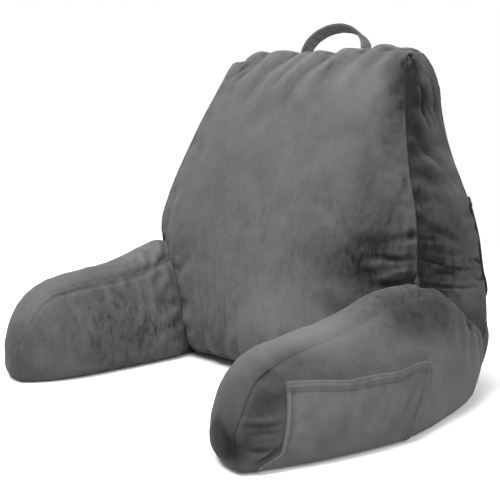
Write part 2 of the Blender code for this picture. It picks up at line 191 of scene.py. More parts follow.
# Main creases of the backrest, by panel, in mm. "from" and "to" are places on the panel, (x, z)
# on the front and back and (y, z) on the sides. "bow" bends a crease sideways, and "held" is 1
# where its first end is caught in a seam. A negative depth is a raised fold.
BACKREST_CREASES = {
    # from, to, bow, depth, width, held
    "front": [
        ((-146, 454), (-176, 392), 5, 3.6, 10, 1),
        ((-108, 454), (-150, 392), -6, 3.4, 11, 1),
        ((-48, 456), (-92, 380), -6, 3.8, 12, 1),
        ((-20, 456), (-42, 404), 4, 2.4, 9, 1),
        ((30, 456), (-4, 368), -7, 4.2, 13, 1),
        ((62, 456), (38, 394), 5, 2.6, 9, 1),
        ((92, 456), (56, 374), -8, 3.2, 14, 1),
        ((138, 454), (104, 388), -7, 2.8, 12, 1),
        ((156, 446), (146, 398), 3, 2.0, 8, 1),
        ((168, 420), (172, 352), -5, 1.8, 12, 0),
        ((-124, 448), (-146, 428), 2, 3.4, 3.6, 0),
        ((-110, 446), (-136, 418), 3, 2.2, 3.6, 0),
        ((-92, 448), (-118, 420), -3, 2.0, 4.0, 0),
        ((248, 217), (200, 214), 4, 2.2, 5, 1),
        ((254, 190), (196, 190), 3, 3.2, 3.6, 0),
        ((214, 181), (180, 179), 2, -2.6, 5.5, 0),
        ((254, 174), (220, 169), -2, -2.6, 3.2, 0),
        ((254, 162), (196, 155), 3, 3.6, 5, 0),
        ((226, 204), (150, 196), -6, 1.6, 9, 0),
        ((222, 238), (170, 252), -6, 1.2, 13, 0),
        ((-110, 10), (-96, 66), 6, 2.2, 9, 1),
        ((-72, 8), (-54, 74), -7, 1.6, 10, 1),
        ((-26, 8), (-14, 62), 5, 1.4, 10, 1),
        ((40, 8), (28, 60), -5, 1.6, 10, 1),
        ((96, 8), (74, 78), 7, 1.8, 11, 1),
        ((-176, 132), (-132, 150), 5, 1.8, 9, 1),
        ((-160, 80), (-118, 92), -5, 1.6, 9, 1),
        ((-152, 40), (-120, 48), 4, 1.6, 8, 1),
        ((-120, 60), (-140, 130), 9, 1.0, 12, 0),
        ((-218, 250), (-176, 262), 5, 1.0, 12, 1),
        ((-204, 330), (-168, 344), -4, 0.9, 12, 1),
    ],
    "right": [
        ((150, 452), (152, 376), 3, 4.4, 5, 1),
        ((158, 454), (140, 352), 4, 7.0, 6, 1),
        ((166, 440), (166, 340), -4, 4.0, 6, 0),
        ((172, 454), (202, 380), 5, -4.6, 4.5, 1),
        ((186, 452), (208, 390), -4, 4.0, 5, 1),
        ((172, 420), (176, 340), 4, 3.2, 6, 0),
        ((150, 414), (146, 340), 5, 2.4, 7, 0),
        ((112, 344), (160, 318), -6, 2.0, 10, 1),
        ((104, 318), (158, 296), 5, 2.6, 9, 1),
        ((96, 290), (150, 286), -5, 1.8, 10, 0),
        ((86, 262), (132, 250), 5, 2.4, 9, 1),
        ((64, 242), (126, 222), -6, 2.2, 6, 0),
        ((62, 217), (150, 204), 6, 2.4, 6, 0),
        ((200, 216), (150, 208), -5, 2.0, 6, 1),
        ((66, 193), (186, 168), -6, 5.2, 2.2, 0),
        ((70, 212), (112, 208), 2, 2.2, 2.4, 0),
        ((80, 200), (160, 184), -6, -2.4, 3.4, 0),
        ((88, 171), (132, 165), 3, 4.4, 3.4, 0),
        ((208, 173), (156, 178), -3, 4.0, 3, 1),
        ((66, 161), (184, 146), -3, 4.4, 2.2, 0),
        ((208, 153), (170, 160), 4, 3.6, 3.2, 1),
        ((86, 181), (150, 172), 3, -2.0, 3.4, 0),
        ((202, 240), (160, 234), 4, 1.8, 7, 1),
    ],
    "left": [
        ((150, 444), (156, 372), 6, 4.2, 9, 1),
        ((170, 446), (186, 384), -6, 3.6, 8, 1),
        ((112, 340), (164, 312), 6, 2.0, 10, 1),
        ((88, 262), (140, 248), -5, 1.8, 10, 1),
        ((80, 214), (136, 196), 5, 2.6, 9, 1),
        ((76, 182), (128, 168), -5, 2.6, 8, 1),
        ((200, 192), (130, 182), 6, 2.4, 8, 1),
        ((202, 232), (150, 226), -4, 1.4, 9, 1),
    ],
    "back": [
        ((-120, 448), (-138, 392), -5, 3.0, 9, 1),
        ((-62, 452), (-78, 388), 6, 2.6, 9, 1),
        ((64, 452), (82, 392), -6, 2.8, 9, 1),
        ((122, 448), (140, 394), 5, 3.0, 9, 1),
        ((0, 454), (8, 404), 4, 1.8, 9, 1),
        ((-206, 300), (-150, 318), -6, 2.0, 11, 1),
        ((206, 300), (146, 322), 6, 2.0, 11, 1),
        ((-236, 236), (-170, 262), 7, 1.6, 12, 1),
        ((236, 236), (168, 258), -7, 1.6, 12, 1),
        ((-96, 330), (70, 322), 10, 1.0, 16, 0),
    ],
}

# Creases of the arms. On the inner and outer panels a place is (forward, z), on the top
# strip (forward, distance from the middle).
ARM_CREASES = {
    "right": {
        "outer": [
            ((434, 51), (384, 48), 2, 2.2, 2.2, 0),
            ((420, 45), (388, 43), 3, 1.2, 2.0, 0),
            ((432, 56), (394, 54), 2, -1.2, 3, 0),
            ((430, 41), (400, 39), -2, 1.4, 2.8, 0),
            ((432, 28), (400, 25), 2, 2.6, 2.6, 0),
            ((424, 4), (386, 24), 2, -3.0, 2.8, 0),
            ((426, 11), (390, 31), 3, 3.0, 2.8, 0),
            ((414, 2), (382, 15), 1, 3.4, 2.8, 0),
            ((404, 100), (368, 90), 4, 1.6, 7, 1),
            ((72, 122), (40, 86), 5, 1.3, 6, 0),
            ((50, 98), (34, 24), -4, 1.6, 7, 0),
            ((66, 104), (74, 50), 5, 1.6, 9, 1),
            ((84, 122), (58, 96), 4, 1.4, 7, 0),
            ((92, 118), (100, 70), 5, 1.2, 10, 1),
            ((124, 140), (126, 100), -5, 1.0, 11, 1),
            ((210, 60), (226, 16), 5, 1.6, 9, 0),
        ],
        "inner": [
            ((300, 112), (304, 52), 6, 1.4, 9, 1),
            ((240, 118), (236, 60), -5, 1.5, 9, 1),
            ((210, 112), (216, 40), 5, 2.2, 8, 1),
            ((350, 104), (360, 50), -5, 1.2, 9, 1),
        ],
        "top": [
            ((150, -6), (128, 22), 4, 2.4, 8, 0),
            ((180, -30), (156, 4), -4, 1.8, 9, 0),
            ((112, 4), (96, 26), 3, 2.2, 8, 0),
        ],
    },
    "left": {
        "inner": [
            ((196, 126), (214, 96), 5, 3.0, 7, 1),
            ((184, 112), (232, 88), -6, 2.6, 8, 0),
            ((186, 84), (230, 66), 6, 2.8, 8, 1),
            ((184, 58), (240, 44), -6, 2.2, 8, 1),
            ((184, 34), (226, 20), 4, 2.0, 7, 1),
            ((258, 118), (252, 70), 5, 1.7, 8, 1),
            ((286, 116), (276, 62), -6, 1.5, 9, 1),
            ((312, 114), (306, 76), 4, 1.1, 8, 1),
            ((232, 108), (236, 60), 4, 1.4, 7, 0),
            ((268, 52), (246, 20), 6, 1.2, 10, 0),
            ((400, 60), (372, 30), 5, 1.2, 12, 0),
        ],
        "outer": [
            ((70, 104), (78, 40), 5, 3.0, 8, 1),
            ((110, 130), (112, 70), -5, 1.8, 9, 1),
            ((416, 66), (380, 58), 4, 2.0, 7, 1),
        ],
        "top": [
            ((196, -44), (172, -14), 3, 3.2, 7, 1),
            ((212, -42), (196, -6), -3, 2.4, 7, 1),
            ((176, -30), (152, 2), 4, 3.0, 7, 0),
            ((234, -40), (226, -8), 3, 1.4, 8, 1),
        ],
    },
}

# Creases of the arm pockets, where only depth and width are in mm.
POCKET_CREASES = [
    # from, to as (share along, share down from the hem), bow as a share, depth, width, held
    ((0.10, 0.30), (0.26, 0.78), 0.02, 1.5, 7, 0),
    ((0.06, 0.62), (0.24, 0.92), -0.02, 1.3, 6, 0),
    ((0.34, 0.22), (0.40, 0.82), 0.02, 0.8, 8, 0),
    ((0.62, 0.26), (0.55, 0.86), -0.02, 0.8, 8, 0),
    ((0.94, 0.12), (0.78, 0.66), 0.03, 1.2, 7, 0),
    ((0.97, 0.40), (0.84, 0.90), -0.02, 1.0, 7, 0),
]

# The front panel's bottom edge lifts off the floor a little between the arms.
EDGE_LIFT = {
    "x": (-151, -140, -116, -100, -80, -40, 0, 60, 110, 151),
    "rise": (0, 3, 7, 7.5, 8, 9, 9, 7, 5, 0),
}
# The handle's pull leaves the top a little lower between its feet.
TOP_DIP = 4.5
# The top edge swells between the gathers.
TOP_SCALLOP = {
    "x": (-171, -150, -132, -112, -82, -52, -10, 27, 58, 88, 112, 134, 150, 171),
    "rise": (0, -1.5, 2.0, -1.0, 2.2, -1.2, 1.4, -1.2, 1.2, -1.0, 2.0, -0.6, 1.5, 0),
}


def srgb(code):
    """A hex colour as linear red, green, blue and alpha."""
    parts = [int(code[i:i + 2], 16) / 255 for i in (1, 3, 5)]
    return tuple(c / 12.92 if c <= 0.04045 else ((c + 0.055) / 1.055) ** 2.4 for c in parts) + (1.0,)


# ---------------------------------------------------------------------------
# Shapes from the tables
# ---------------------------------------------------------------------------
def read(table, column, place):
    """Reads a column at places between the rows, on a smooth curve that never overshoots."""
    keys = np.array(table[next(iter(table))], float)
    values = np.array(table[column], float)
    if keys[0] > keys[-1]:
        keys, values = keys[::-1], values[::-1]
    place = np.clip(place, keys[0], keys[-1])
    rises = np.diff(values) / np.diff(keys)
    slopes = np.zeros(len(keys))
    slopes[0], slopes[-1] = rises[0], rises[-1]
    before, after = rises[:-1], rises[1:]
    same = before * after > 0
    total = np.where(same, before + after, 1.0)
    slopes[1:-1] = np.where(same, 2 * before * after / total, 0.0)
    row = np.clip(np.searchsorted(keys, place, "right") - 1, 0, len(keys) - 2)
    span = keys[row + 1] - keys[row]
    t = (place - keys[row]) / span
    return ((1 + 2 * t) * (1 - t) ** 2 * values[row] + t * (1 - t) ** 2 * span * slopes[row]
            + t * t * (3 - 2 * t) * values[row + 1] - t * t * (1 - t) * span * slopes[row + 1])


def mix(first, second, share):
    return first + (second - first) * share


def bow(share):
    """Rises from 0 to 1 at the middle of a panel and back to 0 at its far seam."""
    return 4 * share * (1 - share)


def ease(value, none, full):
    """0 at none, 1 at full and smooth between them, whichever is the larger."""
    t = np.clip((value - none) / (full - none), 0, 1)
    return t * t * (3 - 2 * t)


def bump(distance, width):
    """1 on a line and smoothly 0 away from it."""
    return np.exp(-(distance / width) ** 2)


def bottom_roll(across, height):
    past = np.maximum(0.0, (np.abs(across) - ROLL_START) / (1 - ROLL_START))
    return height * past * past


def backrest_surface(across, depth, rise):
    """Points in mm: across -1 to 1, depth 0 front to 1 back, rise 0 to 1."""
    row = rise * TOP_ROW
    seat = read(ARM_SEAT, "height", depth)
    lifted = mix(seat, LEVEL_ROW, (row - ARM_SEAT_ROW) / (LEVEL_ROW - ARM_SEAT_ROW))
    seated = row <= ARM_SEAT_ROW
    height = np.where(seated, row * seat / ARM_SEAT_ROW, np.where(row < LEVEL_ROW, lifted, row))
    side_row = np.where(seated, row, np.maximum(height, ARM_SEAT_ROW))
    front = read(BACKREST, "front_half", side_row)
    back = read(BACKREST, "back_half", height)
    rise = height / TOP_ROW
    belly = np.sqrt(bow(mix(BELLY_AT_FLOOR, 1.0, rise)))
    half = mix(front, back, depth) + SIDE_CROWN * bow(depth) * belly
    crown = 1 - across * across
    forward = mix(read(BACKREST, "seam_forward", row), read(BACKREST, "middle_forward", row), crown)
    y = BACK_SEAM_Y - (1 - depth) * forward + depth * BACK_CROWN * crown * belly
    roll = np.maximum(bottom_roll(across, BACKREST_ROLL), bottom_roll(1 - 2 * depth, BACKREST_ROLL))
    edge = np.abs(across) ** CORNER_FADE
    lift = TOP_CROWN * bow(depth) * (1 - edge) + BACK_TOP_RISE * depth - TOP_CORNER_DROP * edge
    lift = lift - TOP_LEAN * across
    z = height + roll * (1 - rise) ** ROLL_FADE + lift * rise ** TOP_FADE
    return np.stack((across * half, y, z), -1)


def arm_surface(side, across, forward, rise):
    """Points in mm: across -1 inner to 1 outer, forward from the back seam, rise 0 to 1."""
    traits = ARM_SIDES[side]
    row = {column: read(ARM, column, forward) for column in ARM}
    share = (across + 1) / 2
    belly = bow(mix(BELLY_AT_FLOOR, 1.0, rise))
    tail = np.minimum(1.0, forward / ARM_TAIL_REACH)
    nose = np.maximum(0.0, 1 - (ARM["forward"][0] - forward) / ARM_NOSE_REACH)
    puff = belly * (1 - nose)
    undercut = ARM_UNDERCUT * tail * (1 - nose) * (1 - rise) ** ROLL_FADE
    low_x = mix(row["inner_x"], row["inner_seam_x"], rise ** ARM_INNER_LEAN)
    low_x = low_x + undercut - ARM_INNER_CROWN * puff
    high_x = mix(row["outer_x"], row["outer_seam_x"], rise ** ARM_OUTER_LEAN)
    high_x = high_x - undercut + ARM_OUTER_CROWN * puff * mix(0.2, 1, tail)
    seam_line = mix(row["inner_seam_z"], row["outer_seam_z"], share)
    dome = row["crown_z"] - (row["inner_seam_z"] + row["outer_seam_z"]) / 2
    dome = dome * np.maximum(0, bow(share)) ** ARM_DOME_FULLNESS * rise ** ARM_INNER_LEAN
    droop = mix(row["inner_droop"], row["outer_droop"], share) * traits["droop"]
    z = rise * (seam_line + dome - droop) * traits["lift"]
    tuck = mix(traits["inner_tuck"], traits["outer_tuck"], share)
    y = BACK_SEAM_Y - forward - ARM_NOSE_CROWN * nose ** 2 * bow(share)
    y = y + nose * (traits["short"] - traits["slant"] * (share - 0.5) + traits["lean"] * rise * rise)
    y = y + nose * tuck * (1 - rise) ** TUCK_FADE
    roll = np.maximum(bottom_roll(across, ARM_ROLL * tail), ARM_ROLL * nose ** TUCK_FADE)
    z = z + roll * (1 - rise) ** ROLL_FADE
    return np.stack((traits["turn"] * mix(low_x, high_x, share), y, z), -1)


def along_arm(share):
    """Forward distance at an even share of the strip's length, from the nose to the back."""
    forward = np.linspace(ARM["forward"][0], ARM["forward"][-1], 500)
    crown = read(ARM, "crown_z", forward)
    length = np.concatenate(([0.0], np.cumsum(np.hypot(np.diff(forward), np.diff(crown)))))
    return np.interp(share * length[-1], length, forward)


# ---------------------------------------------------------------------------
# Cushions as six sewn panels
# ---------------------------------------------------------------------------
def even(count):
    return np.linspace(0, 1, count + 1)


def graded(length, step):
    """Stations from 0 to 1 over a length in mm: close together by the seams, then even."""
    edge = np.array(SEAM_STATIONS)
    middle = length - 2 * edge[-1]
    inner = np.linspace(edge[-1], length - edge[-1], max(2, round(middle / step)) + 1)
    return np.concatenate((edge[:-1], inner, length - edge[:-1][::-1])) / length


def grid_quads(ids):
    return np.stack((ids[:-1, :-1], ids[1:, :-1], ids[1:, 1:], ids[:-1, 1:]), -1).reshape(-1, 4)


def outside_out(points, quads):
    """Turns a closed shell's quads round where they face inwards."""
    a, b, c, d = (points[quads[:, n]] for n in range(4))
    volume = (np.cross(a, b) * c).sum() + (np.cross(a, c) * d).sum()
    return quads if volume >= 0 else quads[:, ::-1]


def boxed_shell(place, shares):
    """Points, quads and panels of a cushion; place(u, v, w) works on arrays of shares."""
    counts = [len(s) for s in shares]
    shell = np.zeros(counts, bool)
    shell[[0, -1]] = True
    shell[:, [0, -1]] = True
    shell[:, :, [0, -1]] = True
    ids = np.full(counts, -1)
    ids[shell] = np.arange(shell.sum())
    spots = np.argwhere(shell)
    points = place(*(shares[n][spots[:, n]] for n in range(3)))
    panels = {"low": ids[0], "high": ids[-1], "front": ids[:, 0], "back": ids[:, -1],
              "bottom": ids[:, :, 0], "top": ids[:, :, -1]}
    axes = {"low": (1, 2), "high": (1, 2), "front": (0, 2), "back": (0, 2),
            "bottom": (0, 1), "top": (0, 1)}
    quads = []
    for name, grid in panels.items():
        ring = grid_quads(grid)
        quads.append(ring if name in ("high", "front", "top") else ring[:, ::-1])
    quads = outside_out(points, np.concatenate(quads))
    return {"points": points, "quads": quads, "panels": panels, "axes": axes, "shares": shares}


def normals_of(points, quads):
    a, b, c, d = (points[quads[:, n]] for n in range(4))
    facing = np.cross(c - a, d - b)
    total = np.zeros_like(points)
    for n in range(quads.shape[1]):
        np.add.at(total, quads[:, n], facing)
    return total / np.maximum(np.linalg.norm(total, axis=1, keepdims=True), 1e-12)


def relaxed(points, quads, strength, rounds):
    """Evens out the points; strength is 0 to 1 for each point."""
    ends = np.concatenate([quads[:, [n, (n + 1) % 4]] for n in range(4)])
    count = np.bincount(ends.ravel(), minlength=len(points))
    for _ in range(rounds):
        total = np.zeros_like(points)
        np.add.at(total, ends[:, 0], points[ends[:, 1]])
        np.add.at(total, ends[:, 1], points[ends[:, 0]])
        points = mix(points, total / count[:, None], 0.5 * strength[:, None])
    return points


def waves(points, length, seed):
    """A smooth random field of about -1 to 1 whose swells are length mm across."""
    source = np.random.RandomState(seed)
    field = np.zeros(len(points))
    for _ in range(7):
        way = source.normal(size=3)
        way /= np.linalg.norm(way)
        pace = 2 * math.pi / (length * source.uniform(0.8, 1.5))
        field += np.sin(points @ way * pace + source.uniform(0, 6.3))
    return field / 3.5


def ripple(distance, length, seed):
    """An uneven row of ripples along a line, about length mm apart, from -1 to 1."""
    source = np.random.RandomState(seed)
    count = 400
    places = np.cumsum(source.uniform(0.45, 0.8, count)) * length
    heights = source.uniform(0.3, 1.0, count) * np.where(np.arange(count) % 2, 1, -1)
    low = np.clip(np.searchsorted(places, distance) - 1, 0, count - 2)
    share = ease(distance, places[low], places[low + 1])
    return mix(heights[low], heights[low + 1], share)


def walked(grid_points, axis):
    """Distance walked over a panel from its first edge, along one way of its grid."""
    steps = np.linalg.norm(np.diff(grid_points, axis=axis), axis=-1)
    start = np.zeros_like(np.take(steps, [0], axis=axis))
    return np.concatenate((start, np.cumsum(steps, axis=axis)), axis=axis)


def measured(shell, seams):
    """Distance of each point to its panel's nearest seam, and the ripples' pull there."""
    points = shell["points"]
    near = np.full(len(points), 1e3)
    pull = np.zeros(len(points))
    seed = 3
    for name, grid in shell["panels"].items():
        laid = points[grid]
        first, second = walked(laid, 0), walked(laid, 1)
        edges = {"u0": (first, second), "u1": (first[-1:] - first, second),
                 "v0": (second, first), "v1": (second[:, -1:] - second, first)}
        for edge, (distance, along) in edges.items():
            seed += 1
            if edge not in seams[name]:
                continue
            np.minimum.at(near, grid.ravel(), distance.ravel())
            fade = np.exp(-distance / RIPPLE_REACH) * (1 - np.exp(-distance / 3.0))
            wave = ripple(along, RIPPLE_LENGTH, seed) * fade
            np.add.at(pull, grid.ravel(), wave.ravel())
    return near, pull


def crease(first, second, row):
    """Offset in mm of points at panel places (first, second) for one crease of a table."""
    start, end, bend, depth, width, held = row
    start, end = np.array(start, float), np.array(end, float)
    way = end - start
    sideways = np.array((-way[1], way[0])) / max(np.linalg.norm(way), 1e-9)
    middle = (start + end) / 2 + sideways * bend * 2
    steps = np.linspace(0, 1, 25)
    weights = np.stack(((1 - steps) ** 2, 2 * steps * (1 - steps), steps ** 2))[..., None]
    line = weights[0] * start + weights[1] * middle + weights[2] * end
    best = np.full(first.shape, 1e9)
    share = np.zeros(first.shape)
    for a, b, s, span in zip(line[:-1], line[1:], steps[:-1], np.diff(steps)):
        edge = b - a
        t = np.clip(((first - a[0]) * edge[0] + (second - a[1]) * edge[1]) / (edge @ edge), 0, 1)
        gap = np.hypot(first - a[0] - t * edge[0], second - a[1] - t * edge[1])
        closer = gap < best
        best = np.where(closer, gap, best)
        share = np.where(closer, s + t * span, share)
    if held:
        strength = np.cos(share * math.pi / 2) ** 0.8
    else:
        strength = np.sin(np.clip(share, 0, 1) * math.pi) ** 0.7
    # the cloth beside a trough stands up a little
    return depth * strength * (0.5 * bump(best - 1.75 * width, 0.9 * width) - bump(best, width))


def cubic(values, at):
    """Reads rows of an array between their indices, on a smooth curve."""
    low = np.clip(np.floor(at).astype(int), 0, len(values) - 2)
    t = (at - low).reshape(-1, *([1] * (values.ndim - 1)))
    p = [values[np.clip(low + k, 0, len(values) - 1)] for k in (-1, 0, 1, 2)]
    return 0.5 * (2 * p[1] + (p[2] - p[0]) * t + (2 * p[0] - 5 * p[1] + 4 * p[2] - p[3]) * t ** 2
                  + (3 * p[1] - p[0] - 3 * p[2] + p[3]) * t ** 3)


def scene_object(name, data):
    thing = bpy.data.objects.new(name, data)
    bpy.context.scene.collection.objects.link(thing)
    return thing


def mesh_object(name, points, faces):
    """A new object from points in mm, at the origin, with its place in its mesh."""
    mesh = bpy.data.meshes.new(name)
    mesh.from_pydata((points * MM).tolist(), [], faces if isinstance(faces, list) else faces.tolist())
    mesh.update()
    mesh.shade_smooth()
    return scene_object(name, mesh)


def plain_mesh(thing):
    """Turns an object's modifiers into its mesh."""
    cooked = thing.evaluated_get(bpy.context.evaluated_depsgraph_get())
    mesh = bpy.data.meshes.new_from_object(cooked)
    thing.modifiers.clear()
    old = thing.data
    thing.data = mesh
    mesh.name = thing.name
    bpy.data.meshes.remove(old)


def vertex_vectors(mesh, name):
    out = np.zeros(len(mesh.vertices) * 3)
    mesh.vertices.foreach_get(name, out)
    return out.reshape(-1, 3)


def points_of(mesh):
    return vertex_vectors(mesh, "co") / MM


def stuffed(shell, style):
    """Blows the cushion's cloth up with the Cloth solver and returns how far it crumpled.

    The seams and the bottom are held. What is kept is the crumpling, without the broad
    swelling, so that the outline stays the measured one.
    """
    points, quads = shell["points"], shell["quads"]
    near = measured(shell, style["seams"])[0]
    thing = mesh_object("cloth", points - normals_of(points, quads) * 2.0, quads)
    hold = thing.vertex_groups.new(name="held")
    floor = np.zeros(len(points), bool)
    floor[shell["panels"]["bottom"].ravel()] = True
    hold.add(np.flatnonzero((near < 0.5) | floor).tolist(), 1.0, "REPLACE")
    cloth = thing.modifiers.new("stuffing", "CLOTH")
    for name, value in COVER_CLOTH.items():
        setattr(cloth.settings, name, value)
    cloth.settings.shrink_min = -style["slack"]
    cloth.settings.effector_weights.gravity = 0.0
    cloth.point_cache.frame_start = 1
    cloth.point_cache.frame_end = SOLVER_FRAMES
    scene = bpy.context.scene
    for step in range(1, SOLVER_FRAMES + 1):
        scene.frame_set(step)
    cooked = thing.evaluated_get(bpy.context.evaluated_depsgraph_get())
    moved = points_of(cooked.data) - points
    scene.frame_set(1)
    bpy.data.objects.remove(thing)
    reach = np.linalg.norm(moved, axis=1, keepdims=True)
    moved *= np.minimum(1.0, CRUMPLE_LIMIT / np.maximum(reach, 1e-9))
    everywhere = np.ones(len(points))
    broad = relaxed(moved, quads, everywhere, 24)
    fine = relaxed(moved, quads, everywhere, 1)
    return style["kept"] * (fine - broad) * ease(near, 2.0, 14.0)[:, None]


def carried(detail, coarse, fine):
    """Brings the crumpling from the solver's grid to the fine one, panel by panel."""
    out = np.zeros_like(fine["points"])
    at = [fine["shares"][axis] * (len(coarse["shares"][axis]) - 1) for axis in range(3)]
    for name, grid in coarse["panels"].items():
        first, second = coarse["axes"][name]
        rows = cubic(detail[grid], at[first])
        columns = cubic(np.swapaxes(rows, 0, 1), at[second])
        out[fine["panels"][name]] = np.swapaxes(columns, 0, 1)
    return out


def filled(points, fine, place, style):
    """The fine grid's points, crumpled by the filling."""
    coarse = boxed_shell(place, [even(count) for count in style["coarse"]])
    return points + carried(stuffed(coarse, style), coarse, fine)


def seam_profile(near, style, marked):
    """Height of the cloth beside a seam; marked is 0 where the seam hardly shows."""
    valley = -style["valley"] * bump(near, style["valley_width"])
    edge = style["edge"] * bump(near, style["edge_width"])
    return (valley + edge) * marked + STUFFING_RISE * ease(near, 0, STUFFING_REACH)


def swells(points, near, style):
    """Height of the loose cloth's broad and small swells."""
    return sum(height * waves(points, length, seed) * ease(near, low, high)
               for height, length, seed, low, high in style["swells"])


def sewn(place, style):
    """A cushion's fine grid, its softened points, and what measured says of them."""
    fine = boxed_shell(place, [graded(*way) for way in style["grid"]])
    near, pull = measured(fine, style["seams"])
    soft = ease(near, 3, style["softened"]) * (fine["points"][:, 2] > 1)
    return fine, relaxed(fine["points"], fine["quads"], soft, style["rounds"]), near, pull


def make_backrest():
    """Points and quads of the filled backrest, and how deep its folds are, with painted shade along its seams
    added.
    """
    def place(u, v, w):
        return backrest_surface(2 * u - 1, v, w)

    style = CUSHIONS["backrest"]
    fine, points, near, pull = sewn(place, style)
    quads = fine["quads"]
    # the front rolls over into the top strip: its gathers hide the seam between them
    rolled = ease(points[:, 1], 190, 170) * ease(points[:, 2], 418, 440)
    points = relaxed(points, quads, rolled, 34)
    points = filled(points, fine, place, style)
    out = normals_of(points, quads)
    # folds hide the front seam below the top's right corner, and the net lies over the back one
    corner = ease(points[:, 0], 140, 150) * ease(points[:, 2], 330, 400) * ease(points[:, 1], 200, 180)
    marked = 1 - np.maximum(rolled, 0.7 * corner)
    netted = ease(points[:, 1], 196, 204) * ease(points[:, 2], 260, 250)
    offset = seam_profile(near, style, marked * (1 - 0.8 * netted))
    offset += style["pucker"] * pull - 1.8 * netted * bump(near, 7)
    offset += swells(points, near, style)
    # each panel's grid, and the two coordinates that its creases are placed by
    panels = {"front": ("front", (0, 2)), "back": ("back", (0, 2)), "right": ("high", (1, 2)),
              "left": ("low", (1, 2))}
    folds = np.zeros(len(points))
    for panel, rows in BACKREST_CREASES.items():
        grid, (first, second) = panels[panel]
        ids = fine["panels"][grid].ravel()
        if panel == "front":
            ids = np.concatenate((ids, fine["panels"]["top"].ravel()))
        ids = np.unique(ids)
        held = ease(near[ids], -1, 4)
        if panel == "front":
            # its creases run on over the roll and fade along the top strip
            held = np.maximum(held, rolled[ids]) * (1 - ease(points[ids, 1], 165, 200))
        for row in rows:
            folds[ids] += crease(points[ids, first], points[ids, second], row) * held
    offset += folds
    points = points + out * offset[:, None]
    front_low = ease(points[:, 1], 110, 60) * ease(points[:, 2], 60, 4)
    points[:, 2] += read(EDGE_LIFT, "rise", points[:, 0]) * front_low
    points[:, 2] += read(TOP_SCALLOP, "rise", points[:, 0]) * ease(points[:, 2], 425, 448)
    points[:, 2] -= TOP_DIP * bump(points[:, 0] - 10, 46) * ease(points[:, 2], 425, 448)
    points[:, 2] = np.maximum(points[:, 2], 0.0)
    # the folds' depth with painted shade down the seams, for the pile's colour
    return points, quads, folds - 2.2 * bump(near, 2.6) * marked


def under_pocket(forward, height):
    """1 under the pocket, where it presses the arm's cloth flat, and 0 away from it."""
    shares = np.linspace(0, 1, 60)
    down = np.clip(1 - height / 75.0, 0, 1)
    front = mix(POCKET["hem_forward"][0], POCKET["foot_forward"][0], down)
    rear = mix(POCKET["hem_forward"][-1], POCKET["foot_forward"][-1], down)
    hem_forward, hem_height = (read(POCKET, column, shares)[::-1] for column in ("hem_forward", "hem_height"))
    hem = np.interp(forward, hem_forward, hem_height)
    inside = ease(forward, rear - 8, rear + 2) * ease(forward, front + 24, front - 1)
    return inside * ease(height, hem + 14, hem + 2)


def make_arm_shape(side):
    """Points and quads of a filled arm, and how deep its folds are, with painted shade along its seams and its
    second row of stitching added.
    """
    def place(u, v, w):
        return arm_surface(side, 2 * u - 1, along_arm(v), w)

    style = CUSHIONS["arm"]
    fine, points, near, pull = sewn(place, style)
    quads = fine["quads"]
    points = filled(points, fine, place, style)
    out = normals_of(points, quads)
    forward, across = BACK_SEAM_Y - points[:, 1], np.abs(points[:, 0])
    # the outer top seam hardly shows behind the nose, nor the inner one over it
    marked = 1 - 0.75 * ease(forward, 330, 250) * ease(across, 230, 240) * ease(points[:, 2], 60, 90)
    marked *= 1 - 0.6 * ease(forward, 375, 400) * ease(across, 212, 200)
    offset = seam_profile(near, style, marked) + style["pucker"] * pull
    offset += swells(points, near, style)
    # a second row of stitching runs under the inner top seam
    inner = np.zeros(len(points))
    inner[fine["panels"]["low"].ravel()] = 1
    twin = bump(near - 4.4, 1.2) * inner * ease(points[:, 2], 62, 84)
    twin *= ease(forward, 190, 205) * ease(forward, 395, 365)
    folds = -1.1 * twin
    grids = {"inner": "low", "outer": "high", "top": "top"}
    for panel, rows in ARM_CREASES[side].items():
        ids = np.unique(fine["panels"][grids[panel]])
        along, second = forward[ids], points[ids, 2]
        if panel == "top":
            middle = (read(ARM, "inner_seam_x", along) + read(ARM, "outer_seam_x", along)) / 2
            second = across[ids] - middle
        for row in rows:
            folds[ids] += crease(along, second, row) * ease(near[ids], -1, 4)
    offset += folds
    covered = np.zeros(len(points))
    outer = np.unique(fine["panels"]["high"])
    covered[outer] = under_pocket(forward[outer], points[outer, 2])
    offset = mix(offset, -0.6, covered)
    points = points + out * offset[:, None]
    # the tail's outer corner is rounded towards the floor
    corner = ease(points[:, 1], BACK_SEAM_Y - 70, BACK_SEAM_Y)
    corner = corner * ease(points[:, 2], 70, 0) * ease(np.abs(points[:, 0]), 215, 260)
    points[:, 0] -= ARM_SIDES[side]["turn"] * 8 * corner
    points[:, 1] -= 4 * corner
    points[:, 2] = np.maximum(points[:, 2], 0.0)
    # the folds' depth with painted shade down the seams and the second stitching groove, for the pile's colour
    return points, quads, folds - 2.0 * bump(near, 2.0) * marked - 1.6 * twin


def tree_of(points, quads):
    return BVHTree.FromPolygons(points.tolist(), quads.tolist())


def sunk(points, quads, other, reach, depth, keep):
    """Draws the cloth in where it meets another cushion, so the joint lies in a soft valley."""
    out = normals_of(points, quads)
    tree = tree_of(*other)
    moved = points.copy()
    low, high = other[0].min(0) - reach, other[0].max(0) + reach
    beside = np.flatnonzero(((points > low) & (points < high)).all(1) & (points[:, 2] > keep))
    for n in beside:
        spot, way, _, gap = tree.find_nearest(Vector(points[n]), reach)
        if spot is None:
            continue
        inside = (Vector(points[n]) - spot).dot(way) < 0
        share = 1.0 if inside else 1 - gap / reach
        moved[n] -= out[n] * depth * share * share * (3 - 2 * share)
    return moved


def cut_away(thing, points, quads, gap):
    """Cuts another cushion's room out of this one, a little apart from it."""
    cutter = mesh_object("room", points + normals_of(points, quads) * gap, quads)
    cut = thing.modifiers.new("sewn side", "BOOLEAN")
    cut.operation = "DIFFERENCE"
    cut.solver = "MANIFOLD"
    cut.object = cutter
    plain_mesh(thing)
    bpy.data.objects.remove(cutter)


